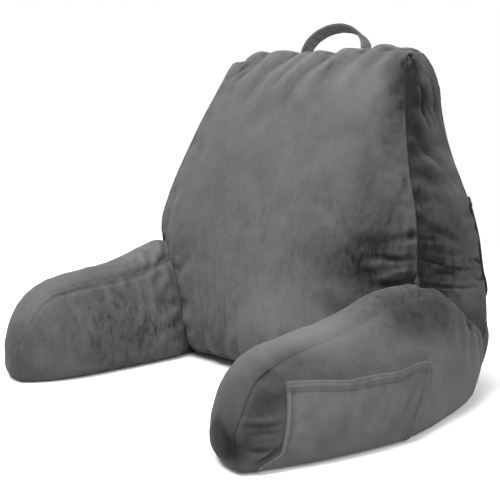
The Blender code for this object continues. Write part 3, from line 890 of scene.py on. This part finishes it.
# ---------------------------------------------------------------------------
# Sheets: pockets and the handle's strap
# ---------------------------------------------------------------------------
def sheet_shell(inner, outer):
    """Closes two grids of points, the back and the face of a cloth, round their rim."""
    rows, columns = inner.shape[:2]
    size = rows * columns
    ids = np.arange(size).reshape(rows, columns)
    ring = grid_quads(ids)
    rim = np.concatenate((ids[:-1, 0], ids[-1, :-1], ids[:0:-1, -1], ids[0, :0:-1]))
    after = np.roll(rim, -1)
    walls = np.stack((rim, after, after + size, rim + size), -1)
    quads = np.concatenate((ring, ring[:, ::-1] + size, walls[:, ::-1]))
    points = np.concatenate((inner.reshape(-1, 3), outer.reshape(-1, 3)))
    return points, outside_out(points, quads)


def pocket_base(side, u, v):
    """Where the pocket's back lies, before its folds: u front to rear, v hem to foot.

    The front side's foot runs out to the nose's corner, as the seam that it is sewn into does.
    """
    traits = ARM_SIDES[side]
    forward = mix(read(POCKET, "hem_forward", u), read(POCKET, "foot_forward", u), v)
    forward = forward + POCKET_TOE * np.maximum(0, 1 - u / 0.16) ** 2 * ease(v, 0.80, 1.0)
    height = mix(read(POCKET, "hem_height", u), POCKET_FOOT_HEIGHT, v)
    droop = read(ARM, "outer_droop", forward) * traits["droop"]
    rise = height / ((read(ARM, "outer_seam_z", forward) - droop) * traits["lift"])

    def outside(ahead, above):
        return arm_surface(side, np.ones_like(forward), forward + ahead, rise + above)

    outward = np.cross(outside(-2, 0) - outside(2, 0), outside(0, 0.02) - outside(0, -0.02))
    outward /= np.linalg.norm(outward, axis=-1, keepdims=True)
    outward *= traits["turn"]
    slack = read(POCKET, "slack", u) * traits["gape"] * (1 - v) ** POCKET_GAPE_FADE
    return outside(0, 0) + outward * (0.9 + slack)[..., None], outward


def make_arm_pocket(side):
    """A patch of velvet with a double-folded hem, a rolled front edge and a flat rear one.

    Besides its points and quads it gives its area, how deep its folds are, with painted shade at
    the hem and edges and painted light on the rolled edge, and its two lines of stitching.
    """
    u, v = np.meshgrid(graded(POCKET_LENGTH, 2.6), graded(POCKET_DEPTH, 2.6), indexing="ij")
    laid, outward = pocket_base(side, u, v)
    down, along = walked(laid, 1), walked(laid, 0)
    rest, foot = along[-1:] - along, down[:, -1:] - down
    past_hem, below = down - HEM_DEPTH, ease(down, 6, 12)
    # the hem's layers, its folded edges, its stitching and the step down to the single cloth
    thick = np.full(u.shape, POCKET_CLOTH)
    thick += 1.5 * ease(down, HEM_DEPTH + 0.8, HEM_DEPTH - 0.8)
    thick += 0.9 * bump(past_hem + 0.8, 1.2) + 0.7 * bump(down - 1.6, 1.4)
    thick -= 1.0 * bump(past_hem - 2.0, 1.3)
    # the rolled front edge
    rolled = bump(along - 2.4, 1.9) * below
    thick += 2.6 * rolled - 1.0 * bump(along - 6.4, 1.6) * below
    thick += 1.3 * ease(along, 14, 12) * ease(down, 13, 11)
    # the flat rear edge
    thick += 0.8 * ease(rest, 7.5, 6.2) - 1.0 * bump(rest - 8.4, 1.4)
    fold = np.zeros(u.shape)
    for start, end, bend, depth, width, held in POCKET_CREASES:
        spots = [(s * POCKET_LENGTH, t * POCKET_DEPTH) for s, t in (start, end)]
        row = (*spots, bend * POCKET_LENGTH, depth, width, held)
        fold += crease(u * POCKET_LENGTH, v * POCKET_DEPTH, row)
    loose = 0.5 * waves(laid.reshape(-1, 3), 34, 22).reshape(u.shape)
    fold += 0.6 * ripple(along, 16, 21) * np.exp(-np.abs(past_hem) / 9) + loose
    fold += 0.6 * ripple(down, 13, 23) * np.exp(-along / 12) + 0.5 * ripple(down, 14, 24) * np.exp(-rest / 12)
    edge = np.minimum(np.minimum(along, rest), np.minimum(down, foot))
    fold *= ease(edge, 0, 6) * ease(foot, 0, 16)
    fold = np.maximum(fold, -0.7 - read(POCKET, "slack", u) * (1 - v) * 0.5)

    def over(height):
        return laid + outward * height[..., None]

    points, quads = sheet_shell(over(fold), over(fold + thick))
    points[:, 2] = np.maximum(points[:, 2], 0.4)
    area = float(along[-1].mean() * down[:, -1].mean())
    # painted shade in the groove under the hem and beside the rolled and flat edges, painted light on the
    # rolled edge
    shade = fold - 2.2 * bump(past_hem - 2.0, 1.6) - 1.4 * bump(along - 6.4, 2.0) * below
    shade = shade + 1.5 * rolled - 1.4 * bump(rest - 8.4, 1.6)
    face = over(fold + thick + 0.15)
    hem, rear = np.abs(past_hem + 1.6), np.abs(rest - 5.0)
    lines = [np.take_along_axis(face, hem.argmin(1)[:, None, None], 1)[2:-2, 0],
             np.take_along_axis(face, rear.argmin(0)[None, :, None], 0)[0, 2:-2]]
    return points, quads, area, np.tile(shade.ravel(), 2), lines


def back_panel(across, height):
    """Points of the back panel at heights in mm."""
    rise = np.linspace(0, 1, 400)
    levels = backrest_surface(np.zeros_like(rise), np.ones_like(rise), rise)[:, 2]
    return backrest_surface(across, np.ones_like(across), np.interp(height, levels, rise))


def make_back_pocket(tree):
    """A pocket of black net with a bound, slightly gathered top."""
    u, v = np.meshgrid(graded(NET_WIDTH, 4.0), graded(NET_HEIGHT, 4.0), indexing="ij")
    across, down, side = 1 - 2 * u, v * NET_HEIGHT, np.minimum(u, 1 - u) * NET_WIDTH
    height = mix(BACK_POCKET["height"][-1], BACK_POCKET["height"][0], v)
    laid = back_panel(across, height)
    slack = read(BACK_POCKET, "slack", height) * (1 - across ** TOP_FADE)
    loose = 0.7 * waves(laid.reshape(-1, 3), 60, 31).reshape(u.shape)
    lift = 1.6 + slack + loose * ease(np.minimum(side, down), 0, 40)
    lift += 0.8 * ripple(u * NET_WIDTH, 17, 33) * np.exp(-down / 20)
    # the binding at the top and the turned edges
    thick = NET_CLOTH + (1.1 * ease(down, 12, 10.5) - 0.5 * bump(down - 6, 1.2))
    thick += 0.8 * ease(np.minimum(side, NET_HEIGHT - down), 7, 6)
    # its sides are sewn over the back seams, so a black edge shows from the front
    wrap = bump(side, 6.0) * (1 - ease(v, 0.1, 0.6))
    inner = laid.copy()
    inner[..., 1] += lift - 5.5 * wrap
    inner[..., 0] += np.sign(across) * (1.5 * wrap - 0.8) - 6.5 * across * ease(v, 0.52, 0.62)
    # it lies on the filled back, wherever that swells further out
    for spot, held in zip(inner.reshape(-1, 3), ease(side, 4, 12).ravel()):
        hit = tree.ray_cast(Vector((spot[0], spot[1] + 60, spot[2])), Vector((0, -1, 0)))[0]
        if hit is not None:
            spot[1] += held * max(0.0, hit.y + 0.9 - spot[1])
    outer = inner.copy()
    outer[..., 1] += thick
    outer[..., 0] += np.sign(across) * thick * wrap
    return sheet_shell(inner, outer)


def top_height(tree, x, y):
    hit = tree.ray_cast(Vector((x, y, 600)), Vector((0, 0, -1)))
    return hit[0].z


def strap_section(half, thin, count):
    """The strap's outline, flat with round edges, as (across, out) in mm round its middle.

    Its second value is which of the outline's points the two rows of stitches run over.
    """
    corner = np.linspace(-math.pi / 2, math.pi / 2, 7)
    flat = np.linspace(-1, 1, count)[1:-1] * (half - thin)
    section = [(half - thin + thin * math.cos(a), thin * math.sin(a)) for a in corner]
    section += [(x, thin) for x in flat[::-1]]
    section += [(-half + thin - thin * math.cos(a), -thin * math.sin(a)) for a in corner]
    section += [(x, -thin) for x in flat]
    return np.array(section), [len(corner) + n for n in (2, 10)]


def make_handle(tree):
    """The strap's folded band, carried along a flat-topped arch, stitched near both edges."""
    foot_y = BACK_SEAM_Y - HANDLE_FORWARD
    feet = [max(top_height(tree, HANDLE_MIDDLE + side * HANDLE_HALF_SPAN + x, foot_y + y)
                for x in (-3, 0, 3) for y in (-9, 0, 9)) for side in (-1, 1)]
    share = np.linspace(0, 1, HANDLE_STEPS + 1)
    turn = math.pi * share
    sine = np.maximum(0.0, np.sin(turn))
    centre_x = HANDLE_MIDDLE - HANDLE_HALF_SPAN * np.cos(turn)
    centre_z = HANDLE_RISE * sine ** HANDLE_ARCH
    normal = np.stack((-np.cos(turn) / HANDLE_HALF_SPAN, sine / HANDLE_RISE), -1)
    normal /= np.linalg.norm(normal, axis=1, keepdims=True)
    twist = HANDLE_TWIST * share
    base = mix(feet[0], feet[1], share) + 0.5
    thin = HANDLE_THICKNESS / 2
    section, stitched_at = strap_section(HANDLE_WIDTH / 2, thin, 15)
    rings = []
    for n in range(HANDLE_STEPS + 1):
        across, out = section.T
        # grooves at both rows of stitches and down the middle, deeper in some places
        groove = 0.8 * (bump(np.abs(across) - 6.3, 0.8) + 0.5 * bump(across, 0.9))
        pinch = 1 + 0.10 * math.sin(n * 1.3) + 0.08 * math.sin(n * 0.53 + 1)
        out = out - np.sign(out) * groove * pinch * (np.abs(out) > thin * 0.7)
        out = out + 0.5 * math.sin(n * 0.42) * bump(across - 3, 5)
        # the strap opens out towards its feet
        across = across * (1 + 0.3 * abs(math.cos(turn[n])) ** 2 + 0.02 * math.sin(n * 0.31)
                           + 0.02 * math.sin(n * 0.83))
        x = centre_x[n] + normal[n, 0] * out - across * math.sin(twist[n])
        up = centre_z[n] + normal[n, 1] * out
        up = np.maximum(0.0, up - across * math.sin(HANDLE_PITCH) * sine[n])
        y = foot_y + across * math.cos(twist[n]) + up * math.tan(HANDLE_LEAN)
        rings.append(np.stack((x, y, base[n] + up), -1))
    rings = np.array(rings)
    ids = np.arange(rings.shape[0] * len(section)).reshape(-1, len(section))
    beside = np.roll(ids, -1, axis=1)
    quads = np.stack((ids[:-1], beside[:-1], beside[1:], ids[1:]), -1).reshape(-1, 4).tolist()
    faces = quads + [ids[0][::-1].tolist(), ids[-1].tolist()]
    return rings.reshape(-1, 3), faces, [rings[2:-2, n] for n in stitched_at]


# ---------------------------------------------------------------------------
# Stitches, by Geometry Nodes
# ---------------------------------------------------------------------------
def add_node(tree, kind, links=(), values=(), **settings):
    """Adds a node with its settings, its socket values and its links."""
    node = tree.nodes.new(kind)
    for key, value in settings.items():
        setattr(node, key, value)
    for place, value in values:
        node.inputs[place].default_value = value
    for place, source in links:
        tree.links.new(source, node.inputs[place])
    return node


def stitch_tree(thread):
    """Lays one stitch after another along a curve. Its sizes are the tree's named inputs."""
    tree = bpy.data.node_groups.new("stitches", "GeometryNodeTree")
    face = tree.interface
    face.new_socket(name="Line", in_out="INPUT", socket_type="NodeSocketGeometry")
    for name, value in (("Pitch", 4.0 * MM), ("Stitch length", 2.9 * MM), ("Thread radius", 0.33 * MM)):
        socket = face.new_socket(name=name, in_out="INPUT", socket_type="NodeSocketFloat")
        socket.default_value = value
    face.new_socket(name="Stitches", in_out="OUTPUT", socket_type="NodeSocketGeometry")
    sizes = add_node(tree, "NodeGroupInput").outputs
    spaced = add_node(tree, "GeometryNodeResampleCurve",
                      [("Curve", sizes["Line"]), ("Length", sizes["Pitch"])], mode="LENGTH")
    points = add_node(tree, "GeometryNodeCurveToPoints", [("Curve", spaced.outputs[0])], mode="EVALUATED")
    ball = add_node(tree, "GeometryNodeMeshUVSphere", values=[("Segments", 6), ("Rings", 5), ("Radius", 1.0)])
    half = add_node(tree, "ShaderNodeMath", [(0, sizes["Stitch length"])], [(1, 0.5)], operation="MULTIPLY")
    radius = sizes["Thread radius"]
    scale = add_node(tree, "ShaderNodeCombineXYZ", [("X", radius), ("Y", radius), ("Z", half.outputs[0])])
    turned = add_node(tree, "FunctionNodeAlignRotationToVector", [("Vector", points.outputs["Tangent"])],
                      axis="Z")
    laid = add_node(tree, "GeometryNodeInstanceOnPoints",
                    [("Points", points.outputs["Points"]), ("Instance", ball.outputs["Mesh"]),
                     ("Rotation", turned.outputs[0]), ("Scale", scale.outputs[0])])
    real = add_node(tree, "GeometryNodeRealizeInstances", [("Geometry", laid.outputs["Instances"])])
    painted = add_node(tree, "GeometryNodeSetMaterial", [("Geometry", real.outputs[0])],
                       [("Material", thread)])
    add_node(tree, "NodeGroupOutput", [("Stitches", painted.outputs[0])])
    return tree


def stitched(name, lines, tree, sizes=None):
    """A plain mesh of stitches along lines of points in mm; sizes, in mm, change the tree's own."""
    curve = bpy.data.curves.new(name, "CURVE")
    curve.dimensions = "3D"
    for line in lines:
        spline = curve.splines.new("POLY")
        spline.points.add(len(line) - 1)
        spline.points.foreach_set("co", np.concatenate((line * MM, np.ones((len(line), 1))), 1).ravel())
    guide = scene_object(name + "_line", curve)
    layer = guide.modifiers.new("stitches", "NODES")
    layer.node_group = tree
    for socket in tree.interface.items_tree:
        if socket.in_out == "INPUT" and sizes and socket.name in sizes:
            layer[socket.identifier] = sizes[socket.name] * MM
    cooked = guide.evaluated_get(bpy.context.evaluated_depsgraph_get())
    mesh = bpy.data.meshes.new_from_object(cooked)
    mesh.name = name
    mesh.shade_smooth()
    guide.modifiers.clear()
    bpy.data.objects.remove(guide)
    return scene_object(name, mesh)


# ---------------------------------------------------------------------------
# Materials
# ---------------------------------------------------------------------------
def new_material(name, values):
    """A material with its shader's own values, its node tree and its shader's sockets."""
    material = bpy.data.materials.new(name)
    material.use_nodes = True
    tree = material.node_tree
    tree.nodes.clear()
    output = add_node(tree, "ShaderNodeOutputMaterial")
    shader = add_node(tree, "ShaderNodeBsdfPrincipled", values=values)
    tree.links.new(shader.outputs[0], output.inputs["Surface"])
    return material, tree, shader.inputs


def ramp(node, stops):
    """Sets a colour ramp's stops from (place, grey) pairs."""
    elements = node.color_ramp.elements
    while len(elements) > 1:
        elements.remove(elements[-1])
    elements[0].position = stops[0][0]
    elements[0].color = (stops[0][1],) * 3 + (1.0,)
    for place, grey in stops[1:]:
        elements.new(place).color = (grey,) * 3 + (1.0,)


def crushed_velvet():
    """Polyester crushed velvet, knitted and cut to a short pile.

    The pile lies in all directions, so patches look darker or lighter, and its tips give a
    soft sheen at the edges. It has no gloss.
    """
    material, tree, shader = new_material("dark_grey_crushed_velvet", [
        ("Roughness", 0.88), ("Specular IOR Level", 0.12), ("Sheen Weight", 0.12),
        ("Sheen Roughness", 0.42), ("Sheen Tint", srgb("#a2a2a4"))])
    place = add_node(tree, "ShaderNodeTexCoord").outputs["Object"]
    # painted shade and painted light, together with the pile's lay, come from a mesh attribute
    nap_and_shade = add_node(tree, "ShaderNodeAttribute", attribute_name="nap_and_shade").outputs["Fac"]
    crushed = add_node(tree, "ShaderNodeAttribute", attribute_name="crush").outputs["Fac"]
    # patches of brushed pile, 60 mm and 14 mm across
    clouds = add_node(tree, "ShaderNodeTexNoise", [("Vector", place)],
                      [("Scale", 16.0), ("Detail", 3.0), ("Roughness", 0.55), ("Distortion", 0.6)])
    patches = add_node(tree, "ShaderNodeTexNoise", [("Vector", place)],
                       [("Scale", 70.0), ("Detail", 3.0), ("Roughness", 0.6), ("Distortion", 0.8)])
    # short upright flecks, about 5 by 14 mm, where the pile was pressed the other way
    stretched = add_node(tree, "ShaderNodeMapping", [("Vector", place)], [("Scale", (1.0, 1.0, 0.36))])
    flecks = add_node(tree, "ShaderNodeTexNoise", [("Vector", stretched.outputs[0])],
                      [("Scale", 125.0), ("Detail", 2.0), ("Roughness", 0.5), ("Distortion", 0.8)])
    sparse = add_node(tree, "ShaderNodeValToRGB", [("Fac", flecks.outputs["Fac"])])
    ramp(sparse, ((0.47, 0.0), (0.70, 1.0)))
    strength = add_node(tree, "ShaderNodeMath", [(0, sparse.outputs["Color"]), (1, crushed)],
                        operation="MULTIPLY")
    broad = add_node(tree, "ShaderNodeMapRange", [("Value", clouds.outputs["Fac"])],
                     [("From Min", 0.3), ("From Max", 0.7), ("To Min", -0.05), ("To Max", 0.05)])
    small = add_node(tree, "ShaderNodeMapRange", [("Value", patches.outputs["Fac"])],
                     [("From Min", 0.3), ("From Max", 0.7), ("To Min", -0.03), ("To Max", 0.03)])
    both = add_node(tree, "ShaderNodeMath", [(0, broad.outputs[0]), (1, small.outputs[0])], operation="ADD")
    amount = add_node(tree, "ShaderNodeMath", [(0, crushed)], [(1, 2.6), (2, 0.8)], operation="MULTIPLY_ADD")
    patchy = add_node(tree, "ShaderNodeMath", [(0, both.outputs[0]), (1, amount.outputs[0])],
                      operation="MULTIPLY")
    dark = add_node(tree, "ShaderNodeMath", [(0, strength.outputs[0])], [(1, -0.30)], operation="MULTIPLY")
    flecked = add_node(tree, "ShaderNodeMath", [(0, patchy.outputs[0]), (1, dark.outputs[0])],
                       operation="ADD")
    # the painted shade and painted light are added here to the pile's own tone
    pile_and_painted_shade = add_node(tree, "ShaderNodeMath", [(0, flecked.outputs[0]), (1, nap_and_shade)], operation="ADD")
    share = add_node(tree, "ShaderNodeMath", [(0, pile_and_painted_shade.outputs[0])], [(1, 0.5)], operation="ADD",
                     use_clamp=True)
    colour = add_node(tree, "ShaderNodeMix", [("Factor", share.outputs[0])],
                      [("A", srgb("#0b0b0c")), ("B", srgb("#515152"))], data_type="RGBA")
    tree.links.new(colour.outputs["Result"], shader["Base Color"])
    # the pile's grain, 1.2 mm, and its crushed patches as relief
    pile = add_node(tree, "ShaderNodeTexNoise", [("Vector", place)],
                    [("Scale", 820.0), ("Detail", 2.0), ("Roughness", 0.6)])
    grain = add_node(tree, "ShaderNodeBump", [("Height", pile.outputs["Fac"])],
                     [("Strength", 0.35), ("Distance", 0.0004)])
    relief = add_node(tree, "ShaderNodeBump",
                      [("Height", patches.outputs["Fac"]), ("Normal", grain.outputs[0])],
                      [("Strength", 0.2), ("Distance", 0.0012)])
    tree.links.new(relief.outputs[0], shader["Normal"])
    return material


def knitted_net():
    """Black polyester warp-knit net: a matt grid of fine threads round small open cells."""
    material, tree, shader = new_material("black_knitted_net", [
        ("Roughness", 0.75), ("Specular IOR Level", 0.25)])
    place = add_node(tree, "ShaderNodeTexCoord").outputs["Object"]
    # 3.4 mm cells, a little coarser than the real 2.5 mm so that they show
    upright = add_node(tree, "ShaderNodeMapping", [("Vector", place)], [("Rotation", (math.pi / 2, 0, 0))])
    cells = add_node(tree, "ShaderNodeTexVoronoi", [("Vector", upright.outputs[0])],
                     [("Scale", 290.0), ("Randomness", 0.12)],
                     voronoi_dimensions="2D", feature="DISTANCE_TO_EDGE")
    holes = add_node(tree, "ShaderNodeValToRGB", [("Fac", cells.outputs["Distance"])])
    ramp(holes, ((0.10, 0.0), (0.17, 1.0)))
    colour = add_node(tree, "ShaderNodeMix", [("Factor", holes.outputs["Color"])],
                      [("A", srgb("#060607")), ("B", srgb("#1b1b1c"))], data_type="RGBA")
    tree.links.new(colour.outputs["Result"], shader["Base Color"])
    sunk_holes = add_node(tree, "ShaderNodeBump", [("Height", holes.outputs["Color"])],
                          [("Strength", 0.7), ("Distance", 0.0008)], invert=True)
    tree.links.new(sunk_holes.outputs[0], shader["Normal"])
    return material


def spun_thread():
    """Spun polyester sewing thread, matt, dyed to match the velvet."""
    material, tree, shader = new_material("grey_spun_thread", [("Roughness", 0.7)])
    place = add_node(tree, "ShaderNodeTexCoord").outputs["Object"]
    ply = add_node(tree, "ShaderNodeTexNoise", [("Vector", place)], [("Scale", 1400.0), ("Detail", 1.0)])
    colour = add_node(tree, "ShaderNodeMix", [("Factor", ply.outputs["Fac"])],
                      [("A", srgb("#1c1c1d")), ("B", srgb("#303032"))], data_type="RGBA")
    tree.links.new(colour.outputs["Result"], shader["Base Color"])
    return material


def floor_paint():
    """Matt white studio floor."""
    material, tree, shader = new_material("matt_white_floor", [
        ("Roughness", 0.9), ("Specular IOR Level", 0.1)])
    place = add_node(tree, "ShaderNodeTexCoord").outputs["Object"]
    mottle = add_node(tree, "ShaderNodeTexNoise", [("Vector", place)], [("Scale", 3.0)])
    colour = add_node(tree, "ShaderNodeMix", [("Factor", mottle.outputs["Fac"])],
                      [("A", srgb("#bdbdbd")), ("B", srgb("#c3c3c3"))], data_type="RGBA")
    tree.links.new(colour.outputs["Result"], shader["Base Color"])
    return material


# Painted shade: how much darker the pile is painted for each mm of a fold's depth, where shade falls in a
# fold, with painted light on raised crests.
FOLD_SHADE = 0.045
# How crushed the pile is where nothing has pressed it.
PLAIN_CRUSH = 0.12
# Where the pile lies dark or light, partly the pile's lay and partly painted shade and painted light, and
# where it is crushed, by piece, in mm.
NAP_AND_PAINTED_SHADE = {
    # place (x, y, z), reach (x, y, z), darker (-) or lighter (+) as pile lay and painted shade or light,
    # crushed
    "arm_left": [
        ((-158, -70, 66), (40, 95, 56), 0.0, 0.85),
        ((-250, -205, 40), (34, 30, 45), -0.22, 0.0),
        ((-165, 0, 40), (40, 40, 40), 0.0, 0.6),
        ((-200, 10, 158), (40, 50, 22), 0.12, 0.5),
        ((-200, -222, 40), (60, 20, 60), -0.16, 0.0),
    ],
    "backrest": [
        ((-80, 20, 80), (70, 60, 70), -0.02, 0.5),
        # painted shade beside the right arm's root, up the front's right edge and beside the top's right
        # corner, partly the pile's darker lay
        ((184, 60, 174), (72, 60, 52), -0.44, 0.2),
        ((214, 62, 226), (44, 50, 34), -0.12, 0.1),
        ((228, 80, 275), (30, 50, 60), -0.14, 0.1),
        ((186, 90, 325), (32, 60, 130), -0.23, 0.1),
        ((262, 120, 165), (30, 60, 40), -0.06, 0.2),
        ((178, 140, 425), (24, 20, 36), -0.34, 0.0),
        ((186, 124, 375), (22, 20, 44), -0.34, 0.0),
        ((262, 130, 135), (30, 50, 26), 0.26, 0.1),
        ((52, 50, 90), (84, 60, 60), 0.34, 0.0),
        ((-100, 50, 110), (60, 60, 60), 0.05, 0.0),
        ((210, 165, 270), (30, 30, 110), 0.10, 0.0),
        ((60, 40, 190), (160, 80, 90), 0.02, 0.2),
    ],
    "arm_right": [
        # painted shade under the nose's lower corner, partly the pile's darker lay
        ((222, -238, 28), (36, 26, 17), -0.95, 0.1),
        ((220, -225, 60), (60, 40, 70), -0.26, 0.0),
        ((222, -95, 122), (40, 60, 26), 0.16, 0.0),
        ((276, -182, 72), (26, 26, 12), -0.22, 0.0),
        ((268, -200, 50), (20, 34, 50), -0.17, 0.0),
        ((276, -142, 106), (40, 34, 13), -0.36, 0.0),
        ((246, -190, 100), (20, 40, 16), -0.12, 0.0),
        ((226, -10, 156), (44, 60, 18), -0.16, 0.3),
        ((272, 48, 128), (40, 62, 40), -0.40, 0.15),
        ((290, -120, 96), (34, 70, 24), -0.26, 0.0),
        ((270, 150, 106), (40, 40, 30), -0.26, 0.2),
        ((290, 70, 24), (40, 70, 24), 0.12, 0.0),
    ],
    "handle": [
        ((0, 200, 480), (90, 60, 60), 0.0, 0.6),
    ],
}
# The panels are cut with the pile running different ways, so some look darker; the way each face turns also
# sets painted shade and painted light.
LAY_AND_PAINTED_SHADE = {
    # way the panel faces, darker (-) or lighter (+) as pile lay and painted shade or light
    "backrest": [
        # painted shade on the backrest's right side, partly the pile's lay
        ((1, 0, 0), -0.28),
    ],
    "handle": [
        # painted light on the strap's underside, which lies in shade, and painted shade on its top
        ((0, -0.5, -0.87), 0.50),
        ((0.8, -0.5, -0.3), 0.40),
        ((-0.3, -0.5, 0.8), -0.25),
    ],
}


def paint_nap_and_shade(thing, piece, folds=None):
    """Writes the pile's lay, with painted shade and painted light, and how crushed it is, as two attributes of
    the mesh.

    The pile closes up in a fold and opens on a fold's crest; a fold's depth also paints shade in folds and
    seam valleys and light on crests.
    """
    points = points_of(thing.data)
    nap_and_shade = np.zeros(len(points))
    # painted shade in folds and seam valleys, painted light on raised crests
    if folds is not None:
        source, depth = folds
        nearest = KDTree(len(source))
        for n, spot in enumerate(source):
            nearest.insert(spot, n)
        nearest.balance()
        depth = depth[[nearest.find(spot)[1] for spot in points]]
        nap_and_shade += FOLD_SHADE * np.clip(depth, -6, 3)
    crush = np.full(len(points), PLAIN_CRUSH)
    facing = vertex_vectors(thing.data, "normal")
    for way, shade in LAY_AND_PAINTED_SHADE.get(piece, ()):
        nap_and_shade += shade * ease(facing @ np.array(way), 0.35, 0.75)
    for spot, reach, shade, more in NAP_AND_PAINTED_SHADE.get(piece, ()):
        here = np.exp(-(((points - np.array(spot)) / np.array(reach)) ** 2).sum(1))
        nap_and_shade += shade * here
        crush += more * here
    for name, values in (("nap_and_shade", nap_and_shade), ("crush", crush)):
        layer = thing.data.attributes.new(name, "FLOAT", "POINT")
        layer.data.foreach_set("value", values.astype(np.float32))


# ---------------------------------------------------------------------------
# Putting it together
# ---------------------------------------------------------------------------
# The studio, in metres, watts and degrees. The camera's lens is in mm.
FLOOR_HALF = 1.7
FLOOR_DROP = 0.0006
LAMPS = (
    # name, place, aim, width, watts
    ("key", (-0.25, -1.15, 3.3), (0, 0, 0.2), 2.2, 358),
    ("fill", (2.2, -0.8, 1.3), (0, 0, 0.1), 1.3, 72),
)
CAMERA_PLACE = (0.8783, -0.7857, 0.3297)
CAMERA_TILT = 82.9
CAMERA_TURN = 47.2
CAMERA_LENS = 63


def finish_piece(thing, node, material=None):
    """Puts a piece on the body; a piece without a material keeps the one it has."""
    if material:
        thing.data.materials.clear()
        thing.data.materials.append(material)
    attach(thing, "root")
    if node:
        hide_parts(node)


def make_floor():
    mesh = bpy.data.meshes.new("floor")
    corners = ((-1, -1), (1, -1), (1, 1), (-1, 1))
    mesh.from_pydata([(x * FLOOR_HALF, y * FLOOR_HALF, -FLOOR_DROP) for x, y in corners], [], [(0, 1, 2, 3)])
    mesh.materials.append(floor_paint())
    scene_object("floor", mesh)


def make_stage():
    scene = bpy.context.scene
    make_floor()
    world = bpy.data.worlds.new("studio")
    scene.world = world
    world.use_nodes = True
    sky = world.node_tree.nodes["Background"]
    sky.inputs["Color"].default_value = srgb("#ffffff")
    sky.inputs["Strength"].default_value = 1.0
    for name, spot, aim, width, watts in LAMPS:
        light = bpy.data.lights.new(name, "AREA")
        light.shape = "SQUARE"
        light.size = width
        light.energy = watts
        lamp = scene_object(name, light)
        lamp.location = spot
        lamp.rotation_euler = (Vector(aim) - Vector(spot)).to_track_quat("-Z", "Y").to_euler()
    camera = bpy.data.cameras.new("camera")
    camera.lens = CAMERA_LENS
    camera.sensor_width = 36
    eye = scene_object("camera", camera)
    eye.location = CAMERA_PLACE
    eye.rotation_euler = (math.radians(CAMERA_TILT), 0, math.radians(CAMERA_TURN))
    scene.camera = eye
    scene.view_settings.view_transform = "Standard"


def main():
    make_stage()
    velvet, net, thread = crushed_velvet(), knitted_net(), spun_thread()
    tree = stitch_tree(thread)

    back_points, back_quads, folds = make_backrest()
    arms = {side: make_arm_shape(side) for side in ARM_SIDES}
    for side in ARM_SIDES:
        back_points = sunk(back_points, back_quads, arms[side][:2], reach=15.0, depth=3.0, keep=3.0)
    backrest = mesh_object("backrest_cushion", back_points, back_quads)
    paint_nap_and_shade(backrest, "backrest", (back_points, folds))
    finish_piece(backrest, "backrest", velvet)

    for side, (points, quads, folds) in arms.items():
        points = sunk(points, quads, (back_points, back_quads), reach=18.0, depth=5.0, keep=3.0)
        arm = mesh_object("arm_" + side + "_cushion", points, quads)
        cut_away(arm, back_points, back_quads, gap=0.5)
        arm.data.shade_smooth()
        paint_nap_and_shade(arm, "arm_" + side, (points, folds))
        finish_piece(arm, "arm_" + side, velvet)

        points, quads, area, folds, lines = make_arm_pocket(side)
        pocket = mesh_object("arm_pocket_" + side + "_cloth", points, quads)
        paint_nap_and_shade(pocket, "arm_pocket_" + side, (points, folds))
        finish_piece(pocket, "arm_pocket_" + side, velvet)
        finish_piece(stitched("arm_pocket_" + side + "_stitches", lines, tree), None)

    back_tree = tree_of(back_points, back_quads)
    back_pocket = mesh_object("back_pocket_net", *make_back_pocket(back_tree))
    finish_piece(back_pocket, "back_pocket", net)

    points, faces, lines = make_handle(back_tree)
    handle = mesh_object("handle_strap", points, faces)
    paint_nap_and_shade(handle, "handle")
    finish_piece(handle, "handle", velvet)
    edges = stitched("handle_stitches", lines, tree, {"Pitch": 3.4, "Stitch length": 2.5})
    finish_piece(edges, None)


main()
